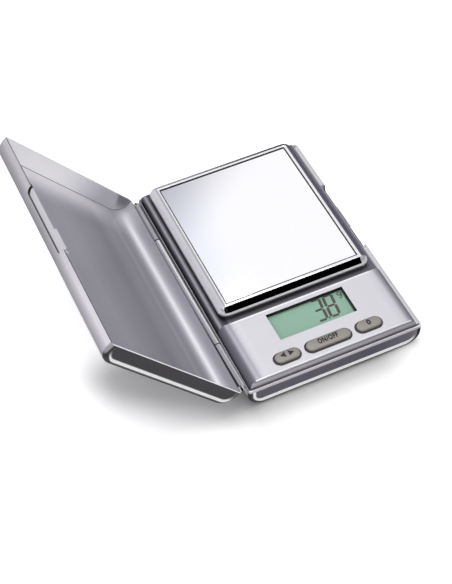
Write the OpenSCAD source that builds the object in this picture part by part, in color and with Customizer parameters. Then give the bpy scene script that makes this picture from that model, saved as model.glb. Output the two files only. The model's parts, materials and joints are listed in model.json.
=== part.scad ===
// Pocket scale in a folding sheet-steel case, shown with its cover open.
// Millimetres. The origin is the middle of the underside of the base case,
// +X points away from the hinge, -Y towards the user and +Z up.

/* [Case] */
// Length of the case, along the hinge
case_len = 110; // [104:0.5:120]
// Width of the case, from the hinge side to the catch side
case_wid = 74.6; // [74:0.2:84]
// Height of the base case
base_h = 10; // [9.6:0.1:11]
// Depth of the cover
cover_h = 8.2; // [8:0.1:11]
// Thickness of the steel sheet
sheet = 0.6; // [0.4:0.05:0.7]
// Outer radius of the long bends
bend_r = 6.5; // [5:0.1:6.8]
// Outer radius of the edge round each end wall
end_r = 1.3; // [1:0.1:1.6]
// Gap between the two rims when the case is shut
rim_gap = 0.1; // [0.05:0.05:0.4]
// Angle of the cover from shut, as shown
cover_angle = 129; // [60:1:180]

/* [Thumb notches and catch] */
// Front end of the notch in the base, from the middle
base_notch_front = 8.4; // [6:0.2:14]
// Back end of the notch in the base, from the middle
base_notch_back = 27.9; // [24:0.2:30]
// Depth of the notch in the base
base_notch_depth = 3.2; // [2:0.1:3.4]
// Corner radius of the notch in the base
base_notch_r = 1.5; // [0.5:0.1:1.9]
// Front end of the notch in the cover, from the middle
cover_notch_front = 8.2; // [8:0.2:14]
// Back end of the notch in the cover, from the middle
cover_notch_back = 26.2; // [24:0.2:30]
// Depth of the notch in the cover
cover_notch_depth = 2.6; // [1.6:0.1:2.6]
// Corner radius at the front end of the notch in the cover
cover_notch_r = 1; // [0.5:0.1:1.5]
// Corner radius at the back end of the notch in the cover
cover_notch_back_r = 2.5; // [0.5:0.1:2.6]
// Thickness of the catch parts
catch_t = 0.5; // [0.3:0.05:0.5]
// Length of the sprung catch tab
catch_len = 13.8; // [8:0.2:16]
// Front end of the catch tab, from the middle
catch_y = 3; // [2.9:0.1:6]
// Height of the catch tab
catch_h = 4.3; // [3.6:0.1:4.3]
// Radius of the back corner of the catch tab
catch_corner_r = 3.6; // [1:0.1:4]
// Travel of the catch tab when pressed
catch_travel = 0.5; // [0.3:0.05:0.5]
// Gap between the pressed catch tab and the housing
catch_rub = 0.2; // [0.1:0.05:0.3]
// Height of the spring arm under the catch tab
catch_arm_h = 0.6; // [0.4:0.05:0.8]
// Length of the riveted end of the spring arm
catch_foot_len = 7.5; // [5:0.5:10]
// How far the strike stands out past the rim of the cover
strike_reach = 0.9; // [0.3:0.1:1.5]
// Length of the part of the strike that stands out
strike_len = 10.8; // [8:0.2:10.8]
// How far the strike plate reaches below the notch in the cover
strike_lap = 0.15; // [0.05:0.05:0.2]
// Gap between the strike plate and the free wall
strike_gap = 0.1; // [0.05:0.05:0.2]

/* [Hinge] */
// Outer diameter of the hinge barrel
barrel_d = 2.9; // [2.6:0.1:3.1]
// Distance from the case wall to the middle of the barrel
hinge_out = 1.8; // [1.7:0.05:2.2]
// Diameter of the hinge pin
pin_d = 1.6; // [1.2:0.1:1.8]
// Length of the middle knuckle
knuckle_mid = 59; // [40:1:64]
// Length of the whole barrel
barrel_len = 102.6; // [96:0.2:103]
// Gap between two knuckles
knuckle_gap = 0.2; // [0.1:0.05:0.4]
// Thickness of a hinge leaf
leaf_t = 0.5; // [0.4:0.05:0.55]
// Height of a hinge leaf on the wall of the base
leaf_h = 3.2; // [2.4:0.1:3.4]
// Height of a hinge leaf on the wall of the cover
cover_leaf_h = 2.4; // [2.3:0.1:2.8]
// Gap from the barrel to the part of a leaf beside it
leaf_gap = 0.2; // [0.1:0.05:0.3]
// Height of the rounded heads of the pin
pin_head_h = 1.8; // [1.4:0.1:2]

/* [Housing] */
// Gap between the case and the housing on the hinge side
hinge_side_gap = 0.7; // [0.5:0.05:1]
// Gap between the case and the housing on the catch side
catch_side_gap = 1.5; // [1.5:0.05:1.8]
// Gap between the case and the housing at each end
end_gap = 0.4; // [0.3:0.05:0.8]
// Wall of the moulded housing
wall = 1.2; // [1:0.1:1.3]
// Height of the seam between the two halves, over the case floor
seam_rise = 6.9; // [6.7:0.1:7.2]
// Length of the raised panel
panel_len = 29.6; // [29:0.2:31]
// Height of the panel over the rim of the base
panel_rise = 4.2; // [4:0.1:4.6]
// Height of the deck under the pan over the rim of the base
deck_rise = 1.8; // [1.7:0.1:2.2]
// Radius of the shoulders along the panel
shoulder_r = 4.2; // [3:0.1:4.4]
// Radius of the front and back edges of the panel
panel_edge_r = 0.6; // [0.2:0.1:1]
// Radius of the long edges of the deck
deck_edge_r = 1.5; // [0.5:0.1:1.6]
// Distance of the housing screws from the middle, across
screw_across = 27.5; // [26:0.1:28]
// Distance of the housing screws from each end of the housing
screw_inset = 3.5; // [3.4:0.1:4]
// Diameter of the housing screws
screw_d = 2; // [1.6:0.1:2.2]
// Head diameter of the housing screws
screw_head_d = 4.6; // [3.8:0.1:4.8]
// Length of the housing screws
screw_len = 9.6; // [8.5:0.1:9.8]
// Diameter of the screw bosses
boss_d = 4.8; // [4.2:0.1:5]

/* [Display] */
// Width of the display window
window_wid = 33.2; // [28:0.2:38]
// Length of the display window
window_len = 13.4; // [10:0.2:14]
// Distance from the back edge of the panel to the window
window_inset = 2.7; // [2.7:0.1:3.2]
// How far the clear window reaches under the panel
window_lip = 1; // [0.6:0.1:1.2]
// Thickness of the clear window
window_t = 0.7; // [0.5:0.1:0.9]
// How far the display glass reaches past the opening
glass_lip = 1.2; // [1:0.1:1.25]
// Thickness of the display glass
glass_t = 2.1; // [1.8:0.1:2.3]
// Gap between the clear window and the display glass
glass_gap = 0.1; // [0.05:0.05:0.2]
// Width of a rubber connector strip
strip_wid = 1.6; // [1.2:0.1:2]

/* [Buttons] */
// Length of a side button
button_len = 10.6; // [8:0.2:12]
// Length of the middle button
middle_button_len = 19; // [14:0.2:20]
// Width of the buttons
button_wid = 5; // [4:0.1:5.4]
// Distance between the middles of two buttons
button_pitch = 17.5; // [17:0.1:18.5]
// Distance of the buttons from the front of the housing
button_inset = 5.6; // [5.2:0.1:5.8]
// Height of the buttons over the panel
button_rise = 0.8; // [0.6:0.1:1]
// Gap round a button
button_gap = 0.25; // [0.15:0.05:0.3]
// Radius of the top edge of a button
button_edge_r = 0.7; // [0.2:0.1:0.9]
// Travel of a button
button_travel = 0.5; // [0.2:0.05:0.6]
// Width of the rim that keeps a button in
button_flange = 0.8; // [0.5:0.1:0.9]
// Thickness of the rim that keeps a button in
button_flange_t = 0.9; // [0.6:0.1:0.9]
// Height of the key switches on the board
switch_h = 2.3; // [2:0.1:2.4]
// Side of a key switch
switch_side = 4.6; // [4:0.1:5]

/* [Circuit board] */
// Gap between the board and the side walls
board_side_gap = 1.4; // [1:0.1:1.8]
// Length of the board
board_len = 27; // [26:0.1:27]
// Thickness of the board
board_t = 1.6; // [1.2:0.1:1.6]
// Gap between the board and the front wall
board_gap = 0.3; // [0.2:0.05:0.4]
// Height of the board over the housing floor
board_rise = 5.2; // [5.1:0.1:5.4]
// Distance of the board screws from the sides of the board
board_screw_edge = 3; // [2.2:0.1:4]
// Distance of the board screws from the back edge of the board
board_screw_inset = 2.5; // [2.2:0.1:3]
// Diameter of the board screws
board_screw_d = 1.6; // [1.4:0.1:2]
// Diameter of the coated chip under the board
chip_d = 9; // [6:0.5:12]
// Height of the coated chip
chip_h = 1.1; // [0.6:0.1:1.6]

/* [Battery] */
// Diameter of the coin cell
coin_d = 20; // [19:0.1:20.4]
// Thickness of the coin cell
coin_t = 3.2; // [2.5:0.1:3.2]
// Place of the battery cap across, from the middle of the case
coin_x = 13; // [12:0.1:14]
// Distance from the front of the housing to the middle of the battery cap
coin_inset = 16; // [15.6:0.1:16.4]
// Width of the outer rim of the battery cap
cap_rim = 1.8; // [1.5:0.1:1.9]
// Wall of the battery cap round the coin cell
cap_wall = 0.45; // [0.4:0.05:0.6]
// Running gap round the battery cap
cap_gap = 0.15; // [0.1:0.05:0.2]
// Turn that frees the battery cap, in degrees
cap_turn = 60; // [40:5:80]
// Width of a lug on the battery cap
cap_lug_wid = 5; // [3:0.5:6]
// Length of the coin slot in the battery cap
cap_slot_len = 13; // [10:0.5:18]
// Width of the coin slot
cap_slot_wid = 1.8; // [1.4:0.1:2.4]

/* [Weighing pan] */
// Width of the pan
pan_wid = 65.8; // [62:0.2:66]
// Length of the pan
pan_len = 75.5; // [72:0.5:76]
// Gap between the back of the pan and the back of the housing
pan_back_gap = 0.25; // [0:0.05:0.5]
// Height of the pan rim over the rim of the base
pan_rise = 6.9; // [6.8:0.1:7.1]
// Height of the skirt of the pan
skirt_h = 3.5; // [3.2:0.1:3.6]
// Radius of the skirt of the pan
skirt_r = 3; // [2:0.1:3.1]
// Width of the rim round the mirror plate
pan_rim = 1; // [0.6:0.1:1.6]
// Height of the rim over the mirror plate
pan_rim_h = 0.4; // [0.2:0.05:0.6]
// Thickness of the mirror plate
mirror_t = 0.8; // [0.5:0.1:0.8]
// Gap round the mirror plate
mirror_gap = 0.1; // [0.05:0.05:0.2]
// Wall of the pan
pan_wall = 1.2; // [0.8:0.1:1.2]
// Travel of the pan under the largest load
pan_travel = 0.3; // [0.1:0.05:0.3]

/* [Load cell] */
// Length of the load cell
cell_len = 46; // [44:0.5:50]
// Width of the load cell
cell_wid = 9; // [8:0.5:12]
// Height of the load cell
cell_h = 5.5; // [5.2:0.1:5.6]
// Height of the pads above and below the load cell
cell_pad = 0.8; // [0.7:0.05:0.85]
// Height of the pad between the load cell and the pan support
support_pad = 0.6; // [0.4:0.05:0.6]
// Length of a clamped end of the load cell
clamp_len = 11; // [10:0.5:12]
// Diameter of the two joined bores of the load cell
flexure_d = 4; // [3:0.1:4.4]
// Distance between the two joined bores
flexure_pitch = 8; // [6:0.5:10]
// Distance between the two screws of a clamped end
cell_screw_pitch = 5.5; // [5.2:0.1:6]
// Diameter of the screws in the load cell
cell_screw_d = 2.8; // [2:0.1:3]
// Diameter of the heads of those screws
cell_screw_head_d = 5; // [4.2:0.1:5]
// Thickness of the pan support
support_t = 1.1; // [0.9:0.1:1.1]
// Distance of the posts from the middle of the pan, across
post_across = 22; // [18:0.5:24]
// Distance of the posts from the middle of the pan, along
post_along = 25; // [20:0.5:28]
// Diameter of the posts that carry the pan
post_d = 5; // [4:0.5:6]
// Gap round each post in the deck
post_gap = 1; // [0.6:0.1:1.4]
// Width of the arms of the pan support
support_arm = 9; // [7:0.5:12]
// Thickness of a strain gauge
gauge_t = 0.12; // [0.08:0.01:0.2]
// Side of a strain gauge
gauge_side = 5; // [4:0.5:6]
// Diameter of the overload screw
overload_d = 2; // [1.6:0.1:2.4]
// Width of the ribbon of wires
ribbon_wid = 4; // [3:0.5:5]
// Thickness of the ribbon of wires
ribbon_t = 0.3; // [0.2:0.05:0.4]

/* [Hidden] */
$fn = 64;
seat = 0.05;             // gap between flat faces that rest on or slide over each other
over = 1;                // how far a cutter passes through what it cuts
slice = 0.02;            // thickness of the discs that shape the edge of a button
running = 0.05;          // radial gap of the hinge pin in the turning knuckle

steel = [0.78, 0.78, 0.80];
silver = [0.86, 0.86, 0.88];
green = [0.60, 0.74, 0.66];

// Inside of the case
in_x = case_wid / 2 - sheet;
in_y = case_len / 2 - sheet;
hinge_x = -case_wid / 2 - hinge_out;
hinge_z = base_h;

// Housing
h_left = -in_x + hinge_side_gap;
h_right = in_x - catch_side_gap;
h_back = in_y - end_gap;
h_front = -h_back;
h_mid = (h_left + h_right) / 2;
h_bend_r = bend_r - sheet;
h_end_r = 1.7 * (end_r - sheet);
floor_z = sheet + wall;
seam_z = sheet + seam_rise;
panel_z = base_h + panel_rise;
panel_under = panel_z - wall;
panel_back = h_front + panel_len;
deck_z = base_h + deck_rise;
deck_under = deck_z - wall;
screw_y = h_back - screw_inset;
screw_fit = 0.15;

// Display and board
board_wid = h_right - h_left - 2 * wall - 2 * board_side_gap;
window_y = panel_back - window_inset - window_len / 2;
glass_z = panel_under - window_t - glass_gap - glass_t;
board_z = floor_z + board_rise;
board_top = board_z + board_t;
board_front = h_front + wall + board_gap;
board_back = board_front + board_len;
board_screw_y = board_back - board_screw_inset;
button_y = h_front + button_inset;
switch_top = board_top + switch_h;
flange_z = panel_under - 2 * seat - button_flange_t;
rest_post_x = 24;
rest_post_y = board_front + 2.5;

// Battery
coin_y = h_front + coin_inset;
cap_in_r = coin_d / 2 + cap_gap;
cap_neck_r = cap_in_r + cap_wall;
cap_rim_r = cap_neck_r + cap_rim;
cap_z = 0.1;
cap_floor_z = floor_z + 0.2;
cap_lug_r = cap_neck_r + cap_rim - 3 * cap_gap;
cap_ring_r = cap_rim_r + cap_gap;
coin_z = cap_floor_z + seat;

// Pan and load cell
pan_z = base_h + pan_rise;
pan_low = pan_z - skirt_h;
pan_y = h_back - pan_back_gap - pan_len / 2;
mirror_z = pan_z - pan_rim_h - mirror_t;
web_z = mirror_z - pan_wall;
cell_y = pan_y - 1;
cell_z = floor_z + cell_pad;
cell_top = cell_z + cell_h;
support_z = cell_top + support_pad;
clamp_mid = cell_len / 2 - clamp_len / 2;

// Catch
catch_x = h_right + catch_travel + catch_rub;
catch_z = base_h - catch_h;
arm_z = catch_z - 2 * seat - catch_arm_h;
strike_x = -hinge_out - case_wid + sheet + strike_gap;

// Two-dimensional shapes

// What lies outside a rounded corner at the origin
module corner(r) {
    difference() {
        translate([-over, -over]) square(r + over);
        translate([r, r]) circle(r);
    }
}

// Rectangle from a to b and from low to high, with its lower and upper corners rounded
module section(a, b, low, high, r_low, r_high) {
    difference() {
        translate([a, low]) square([b - a, high - low]);
        if (r_low > 0) {
            translate([a, low]) corner(r_low);
            translate([b, low]) mirror([1, 0]) corner(r_low);
        }
        if (r_high > 0) {
            translate([a, high]) mirror([0, 1]) corner(r_high);
            translate([b, high]) mirror([1, 0]) mirror([0, 1]) corner(r_high);
        }
    }
}

// Rectangle along Y from the axis out to r, with its outer corners rounded
module rounded_end(len, r, edge) {
    difference() {
        translate([0, -len / 2]) square([r, len]);
        for (end = [0, 1]) mirror([0, end]) translate([r, -len / 2]) mirror([1, 0]) corner(edge);
    }
}

// Slot with round ends, along X
module stadium(len, wid) {
    square([len - wid, wid], center = true);
    for (side = [-1, 1]) translate([side * (len - wid) / 2, 0]) circle(d = wid);
}

// Solids drawn from sections

module along_y(from, to) {
    translate([0, to, 0]) rotate([90, 0, 0]) linear_extrude(to - from) children();
}

module along_x(from, to) {
    translate([from, 0, 0]) rotate([90, 0, 90]) linear_extrude(to - from) children();
}

module disc(r, from, to) {
    translate([0, 0, from]) cylinder(r = r, h = to - from);
}

module bar(x, y, z) {
    translate([x[0], y[0], z[0]]) cube([x[1] - x[0], y[1] - y[0], z[1] - z[0]]);
}

// Block with rounded lower bends along Y and a rounded edge round each end
module tray_solid(len, wid, h, r, edge) {
    flat = wid / 2 - r;
    along_x(-flat, flat) section(-len / 2, len / 2, 0, h, edge, 0);
    for (side = [0, 1]) translate([side == 0 ? flat : -flat, 0, r]) {
        rotate([0, 0, side * 180]) linear_extrude(h - r) rounded_end(len, r, edge);
        rotate([-90, 0, 0]) rotate([0, 0, side * 90]) rotate_extrude(angle = 90)
            rounded_end(len, r, edge);
    }
}

// Pressed sheet tray, open at the top
module tray(h) {
    difference() {
        tray_solid(case_len, case_wid, h, bend_r, end_r);
        translate([0, 0, sheet])
            tray_solid(2 * in_y, 2 * in_x, h, bend_r - sheet, end_r - sheet);
    }
}

// Cutter for a thumb notch in the walls between the two places in x, from the rim down
module notch(x, front, back, rim, depth, r_front, r_back) {
    along_x(x[0], x[1]) difference() {
        translate([front, rim - depth]) square([back - front, depth + over]);
        translate([front, rim - depth]) corner(r_front);
        translate([back, rim - depth]) mirror([1, 0]) corner(r_back);
    }
}

// Countersunk screw with its head at the bottom, or the space that it needs
module countersunk(d, head_d, from, len, fit) {
    head_h = (head_d - d) / 2;
    translate([0, 0, from]) cylinder(d1 = head_d + 2 * fit, d2 = d + 2 * fit, h = head_h);
    disc(d / 2 + fit, from + head_h / 2, from + len);
}

// Places that several pieces share

module at_housing_screw(i) {
    across = i % 2 == 0 ? -1 : 1;
    along = i < 2 ? -1 : 1;
    translate([h_mid + across * screw_across, along * screw_y, 0]) children();
}

module at_board_screw(side) {
    translate([h_mid + side * (board_wid / 2 - board_screw_edge), board_screw_y, 0]) children();
}

module at_posts() {
    for (a = [-1, 1], b = [-1, 1]) translate([a * post_across, pan_y + b * post_along, 0]) children();
}

// Screws of the load cell: end -1 is the free end and 1 the clamped end
module at_cell_screw(end, i) {
    translate([h_mid, cell_y + end * clamp_mid + (i - 0.5) * cell_screw_pitch, 0]) children();
}

module at_coin() {
    translate([coin_x, coin_y, 0]) children();
}

module at_button(i) {
    translate([h_mid + i * button_pitch, button_y, 0]) children();
}

// Puts the cover where it stands when open. It is drawn from the hinge axis as if
// folded right back, with its open side up and its panel towards -X.
module opened() {
    translate([hinge_x, 0, hinge_z]) rotate([0, 180 - cover_angle, 0]) children();
}

// Case

module base_case() {
    color(steel) difference() {
        tray(base_h);
        notch([in_x - over, in_x + sheet + over], -base_notch_front, base_notch_back,
            base_h, base_notch_depth, base_notch_r, base_notch_r);
        at_coin() disc(cap_rim_r + 2 * cap_gap, -over, sheet + over);
        for (i = [0:3]) at_housing_screw(i)
            countersunk(screw_d, screw_head_d, 0, screw_len, screw_fit);
    }
}

module cover_case() {
    wall_x = -hinge_out - case_wid;
    color(steel) opened() difference() {
        translate([wall_x + case_wid / 2, 0, -rim_gap - cover_h]) tray(cover_h);
        notch([wall_x - over, wall_x + sheet + over], -cover_notch_front, cover_notch_back,
            -rim_gap, cover_notch_depth, cover_notch_r, cover_notch_back_r);
    }
}

// Plate inside the free wall of the cover, behind the thumb notch
module catch_strike() {
    front = -cover_notch_front - 1.5;
    back = cover_notch_back + 1.5;
    plate_x = [strike_x, strike_x + catch_t];
    color(steel) opened() union() {
        bar(plate_x, [front, back], [-rim_gap - cover_notch_depth - strike_lap, -rim_gap]);
        bar(plate_x, [-cover_notch_front, -cover_notch_front + strike_len],
            [-rim_gap - over, -rim_gap + strike_reach]);
        for (y = [front, cover_notch_back + 0.5])
            bar([strike_x - strike_gap, strike_x + catch_t], [y, y + over],
                [-rim_gap - cover_h + bend_r, -rim_gap]);
    }
}

module catch_spring() {
    foot_y = base_notch_back + 0.6;
    color(steel) union() {
        bar([catch_x, catch_x + catch_t], [catch_y, foot_y + catch_foot_len], [arm_z, arm_z + catch_arm_h]);
        bar([catch_x, in_x], [foot_y, foot_y + catch_foot_len], [bend_r, base_h - 0.6]);
        bar([catch_x, catch_x + catch_t], [foot_y, foot_y + catch_foot_len], [arm_z, bend_r + 0.1]);
    }
}

module catch_tab() {
    color(silver) along_x(catch_x, catch_x + catch_t) difference() {
        translate([catch_y, catch_z]) square([catch_len, catch_h]);
        translate([catch_y + catch_len, base_h]) mirror([1, 0]) mirror([0, 1]) corner(catch_corner_r);
    }
}

// Hinge

// Knuckle along the hinge axis, with a bore for the pin
module knuckle(from, to, fit) {
    along_y(from, to) difference() {
        circle(d = barrel_d);
        circle(d = pin_d + 2 * fit);
    }
}

module hinge_leaf_base() {
    inner = knuckle_mid / 2 + knuckle_gap;
    outer = barrel_len / 2;
    leaf_x = [hinge_out - leaf_t, hinge_out];
    color(steel) translate([hinge_x, 0, hinge_z]) difference() {
        union() {
            bar(leaf_x, [-outer, outer], [-leaf_h, -barrel_d / 2 - leaf_gap]);
            for (side = [-1, 1]) mirror([0, side < 0 ? 1 : 0, 0]) {
                knuckle(inner, outer, 0);
                bar(leaf_x, [inner, outer], [-leaf_h, 0]);
            }
        }
        along_y(-case_len, case_len) circle(d = pin_d);
    }
}

module hinge_leaf_cover() {
    half = knuckle_mid / 2;
    outer = barrel_len / 2;
    leaf_x = [-hinge_out, -hinge_out + leaf_t];
    low = -rim_gap - cover_leaf_h;
    color(steel) opened() difference() {
        union() {
            bar(leaf_x, [-outer, outer], [low, -barrel_d / 2 - leaf_gap]);
            knuckle(-half, half, running);
            bar(leaf_x, [-half, half], [low, 0]);
        }
        along_y(-case_len, case_len) circle(d = pin_d + 2 * running);
    }
}

module hinge_pin() {
    head_r = barrel_d / 2 - 0.05;
    collar = pin_head_h - head_r;
    half = barrel_len / 2;
    color(steel) translate([hinge_x, 0, hinge_z]) union() {
        along_y(-half - seat, half + seat) circle(d = pin_d);
        for (side = [-1, 1]) mirror([0, side < 0 ? 1 : 0, 0])
            translate([0, half + seat, 0]) rotate([-90, 0, 0]) rotate_extrude() union() {
                square([head_r, collar]);
                intersection() {
                    translate([0, collar]) circle(head_r);
                    translate([0, collar / 2]) square([head_r, head_r + collar]);
                }
            }
    }
}

// Housing

module housing_bottom() {
    color(silver) difference() {
        union() {
            difference() {
                intersection() {
                    along_y(h_front, h_back) section(h_left, h_right, sheet, seam_z, h_bend_r, 0);
                    along_x(h_left, h_right) section(h_front, h_back, sheet, seam_z, h_end_r, 0);
                }
                along_y(h_front + wall, h_back - wall)
                    section(h_left + wall, h_right - wall, floor_z, seam_z + over, h_bend_r - wall, 0);
            }
            for (i = [0:3]) at_housing_screw(i) disc(boss_d / 2, sheet + wall / 2, seam_z);
            for (side = [-1, 1]) {
                at_board_screw(side) disc(board_screw_d + 0.6, floor_z - 0.1, board_z);
                translate([h_mid + side * rest_post_x, rest_post_y, 0])
                    disc(board_screw_d / 2 + 0.6, floor_z - 0.1, board_z);
            }
            at_coin() difference() {
                disc(cap_ring_r + wall, floor_z - 0.1, coin_z + coin_t - 0.2);
                disc(cap_ring_r, sheet, coin_z + coin_t);
            }
            bar([h_mid - cell_wid / 2, h_mid + cell_wid / 2],
                [cell_y + cell_len / 2 - clamp_len, cell_y + cell_len / 2], [floor_z - 0.1, cell_z]);
        }
        for (i = [0:3]) at_housing_screw(i)
            countersunk(screw_d, screw_head_d, 0, screw_len, screw_fit);
        for (side = [-1, 1]) at_board_screw(side) disc(board_screw_d / 2, floor_z + 1, board_z + over);
        at_coin() {
            disc(cap_neck_r + cap_gap, 0, floor_z + over);
            for (turn = [0, 180]) rotate([0, 0, turn - cap_turn])
                bar([0, cap_ring_r - cap_gap], [-cap_lug_wid / 2 - cap_gap, cap_lug_wid / 2 + cap_gap],
                    [0, floor_z + 0.2]);
        }
        for (i = [0, 1]) at_cell_screw(1, i)
            countersunk(cell_screw_d, cell_screw_head_d, sheet + seat, cell_h, screw_fit);
        translate([h_mid, cell_y - clamp_mid, 0]) disc(overload_d / 2, 0, floor_z + over);
    }
}

module housing_top() {
    color(silver) difference() {
        union() {
            difference() {
                union() {
                    intersection() {
                        along_y(h_front, panel_back)
                            section(h_left, h_right, seam_z, panel_z, 0, shoulder_r);
                        along_x(h_left, h_right)
                            section(h_front, panel_back, seam_z, panel_z, 0, panel_edge_r);
                    }
                    along_y(panel_back - wall, h_back)
                        section(h_left, h_right, seam_z, deck_z, 0, deck_edge_r);
                }
                along_y(h_front + wall, panel_back - wall)
                    section(h_left + wall, h_right - wall, seam_z - over, panel_under, 0,
                        shoulder_r - wall);
                along_y(h_front + wall, h_back - wall)
                    section(h_left + wall, h_right - wall, seam_z - over, deck_under, 0, 0);
            }
            for (i = [0:3]) at_housing_screw(i)
                disc(boss_d / 2, seam_z, (i < 2 ? panel_z : deck_z) - wall / 2);
        }
        for (i = [0:3]) at_housing_screw(i) disc(screw_d / 2, seam_z - over, screw_len + seat);
        translate([h_mid - window_wid / 2, window_y - window_len / 2, panel_under - over])
            cube([window_wid, window_len, wall + 2 * over]);
        for (i = [-1:1]) at_button(i) translate([0, 0, panel_under - over])
            linear_extrude(wall + 2 * over)
                stadium((i == 0 ? middle_button_len : button_len) + 2 * button_gap,
                    button_wid + 2 * button_gap);
        at_posts() disc(post_d / 2 + post_gap, deck_under - over, deck_z + over);
    }
}

module housing_screw(i) {
    color(steel) at_housing_screw(i) difference() {
        countersunk(screw_d, screw_head_d, seat, screw_len - seat, 0);
        for (turn = [0, 90]) rotate([0, 0, turn])
            translate([0, 0, seat]) cube([2.4, 0.5, 1.2], center = true);
    }
}

// Display and board

module display_window() {
    color([0.85, 0.92, 0.90, 0.4])
        bar([h_mid - window_wid / 2 - window_lip, h_mid + window_wid / 2 + window_lip],
            [window_y - window_len / 2 - window_lip, window_y + window_len / 2 + window_lip],
            [panel_under - window_t, panel_under]);
}

module display_glass() {
    color(green)
        bar([h_mid - window_wid / 2 - glass_lip, h_mid + window_wid / 2 + glass_lip],
            [window_y - window_len / 2 - glass_lip, window_y + window_len / 2 + glass_lip],
            [glass_z, glass_z + glass_t]);
}

module display_strip(side) {
    mid = window_y + side * (window_len / 2 + glass_lip - strip_wid);
    color("dimgray")
        bar([h_mid - window_wid / 2, h_mid + window_wid / 2],
            [mid - strip_wid / 2, mid + strip_wid / 2], [board_top, glass_z]);
}

// Cut-out for a screw boss at a front corner of the board
module board_notch(i) {
    r = boss_d / 2 + 0.4;
    disc(r, board_z - over, board_top + over);
    mirror([1 - i, 0, 0]) bar([-r, board_wid], [-board_len, 0], [board_z - over, board_top + over]);
}

module circuit_board() {
    color("darkgreen") difference() {
        bar([h_mid - board_wid / 2, h_mid + board_wid / 2], [board_front, board_back],
            [board_z, board_top]);
        for (i = [0, 1]) at_housing_screw(i) board_notch(i);
        for (side = [-1, 1]) at_board_screw(side)
            disc(board_screw_d / 2 + screw_fit, board_z - over, board_top + over);
    }
}

module board_screw(side) {
    color(steel) at_board_screw(side) difference() {
        union() {
            disc(board_screw_d / 2, floor_z + 1 + seat, board_top + 0.2);
            disc(board_screw_d, board_top, board_top + 0.9);
        }
        for (turn = [0, 90]) rotate([0, 0, turn])
            translate([0, 0, board_top + 0.9]) cube([1.8, 0.4, 0.8], center = true);
    }
}

// Coated chip on the underside of the board, tapering to its face
module coated_chip() {
    color("black") translate([h_mid - button_pitch, window_y, board_z - chip_h]) union() {
        cylinder(d1 = chip_d - 2 * chip_h, d2 = chip_d, h = chip_h / 2);
        translate([0, 0, chip_h / 2]) cylinder(d = chip_d, h = chip_h / 2);
    }
}

module key_switch(i) {
    color("dimgray") at_button(i) union() {
        translate([0, 0, board_top + (switch_h - 0.6) / 2])
            cube([switch_side, switch_side, switch_h - 0.6], center = true);
        disc(0.9, board_top + 1, switch_top);
    }
}

// Rounded-edge disc, one end of a button cap
module button_end(top) {
    r = button_wid / 2;
    $fn = 32;
    translate([0, 0, flange_z + button_flange_t / 2])
        cylinder(r = r, h = top - button_edge_r - flange_z - button_flange_t / 2);
    for (a = [22.5:22.5:90])
        translate([0, 0, top - button_edge_r * (1 - sin(a)) - slice])
            cylinder(r = r - button_edge_r * (1 - cos(a)), h = slice);
}

module button(i) {
    len = i == 0 ? middle_button_len : button_len;
    color([0.58, 0.56, 0.54]) at_button(i) union() {
        hull() for (side = [-1, 1]) translate([side * (len - button_wid) / 2, 0, 0])
            button_end(panel_z + button_rise);
        translate([0, 0, flange_z]) linear_extrude(button_flange_t)
            stadium(len + 2 * button_flange, button_wid + 2 * button_flange);
        disc(1.2, switch_top + button_travel + seat, flange_z + button_flange_t / 2);
    }
}

// Battery

module battery_cap() {
    color("dimgray") at_coin() difference() {
        union() {
            disc(cap_rim_r, cap_z, sheet - seat);
            disc(cap_neck_r, cap_z, coin_z + coin_t / 3);
            for (turn = [0, 180]) rotate([0, 0, turn])
                bar([coin_d / 2, cap_lug_r], [-cap_lug_wid / 2, cap_lug_wid / 2],
                    [floor_z + seat, floor_z + 0.6]);
        }
        disc(cap_in_r, cap_floor_z, coin_z + coin_t);
        translate([-cap_slot_len / 2, -cap_slot_wid / 2, -over])
            cube([cap_slot_len, cap_slot_wid, over + cap_z + 0.9]);
    }
}

module coin_cell() {
    color(steel) at_coin() union() {
        disc(coin_d / 2, coin_z, coin_z + coin_t - 0.4);
        disc(coin_d / 2 - 1.2, coin_z, coin_z + coin_t);
    }
}

// Spring leaf beside the coin cell, hanging from the board
module battery_contact_side() {
    leaf_x = coin_d / 2 + seat;
    low = coin_z + coin_t / 3 + 0.2;
    color("gold") at_coin() union() {
        bar([leaf_x, leaf_x + 0.3], [-2.5, 2.5], [low, board_z]);
        bar([leaf_x, leaf_x + 2], [-2.5, 2.5], [board_z - 0.3, board_z]);
    }
}

// Bent spring leaf from the board down to the top of the coin cell
module battery_contact_top() {
    low = coin_z + coin_t + seat;
    t = 0.3;
    color("gold") at_coin() along_y(-2, 2) polygon([
        [-10, board_z], [-10, board_z - t], [-5, board_z - t], [-1, low],
        [1, low], [1, low + t], [-0.9, low + t], [-4.9, board_z]
    ]);
}

// Load cell and pan

module load_cell() {
    mid_z = cell_z + cell_h / 2;
    color("gainsboro") difference() {
        bar([h_mid - cell_wid / 2, h_mid + cell_wid / 2],
            [cell_y - cell_len / 2, cell_y + cell_len / 2], [cell_z, cell_top]);
        for (side = [-1, 1]) translate([h_mid - cell_wid, cell_y + side * flexure_pitch / 2, mid_z])
            rotate([0, 90, 0]) cylinder(d = flexure_d, h = 2 * cell_wid);
        translate([h_mid, cell_y, mid_z]) cube([2 * cell_wid, flexure_pitch, 1.4], center = true);
        for (i = [0, 1]) {
            at_cell_screw(-1, i) disc(cell_screw_d / 2, cell_z + 1, cell_top + over);
            at_cell_screw(1, i) disc(cell_screw_d / 2, cell_z - over, cell_top - 1);
        }
    }
}

module load_cell_screw(i) {
    color(steel) at_cell_screw(1, i) difference() {
        countersunk(cell_screw_d, cell_screw_head_d, sheet + seat, cell_h, 0);
        translate([0, 0, sheet + seat]) cube([3, 0.6, 1], center = true);
    }
}

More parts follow.
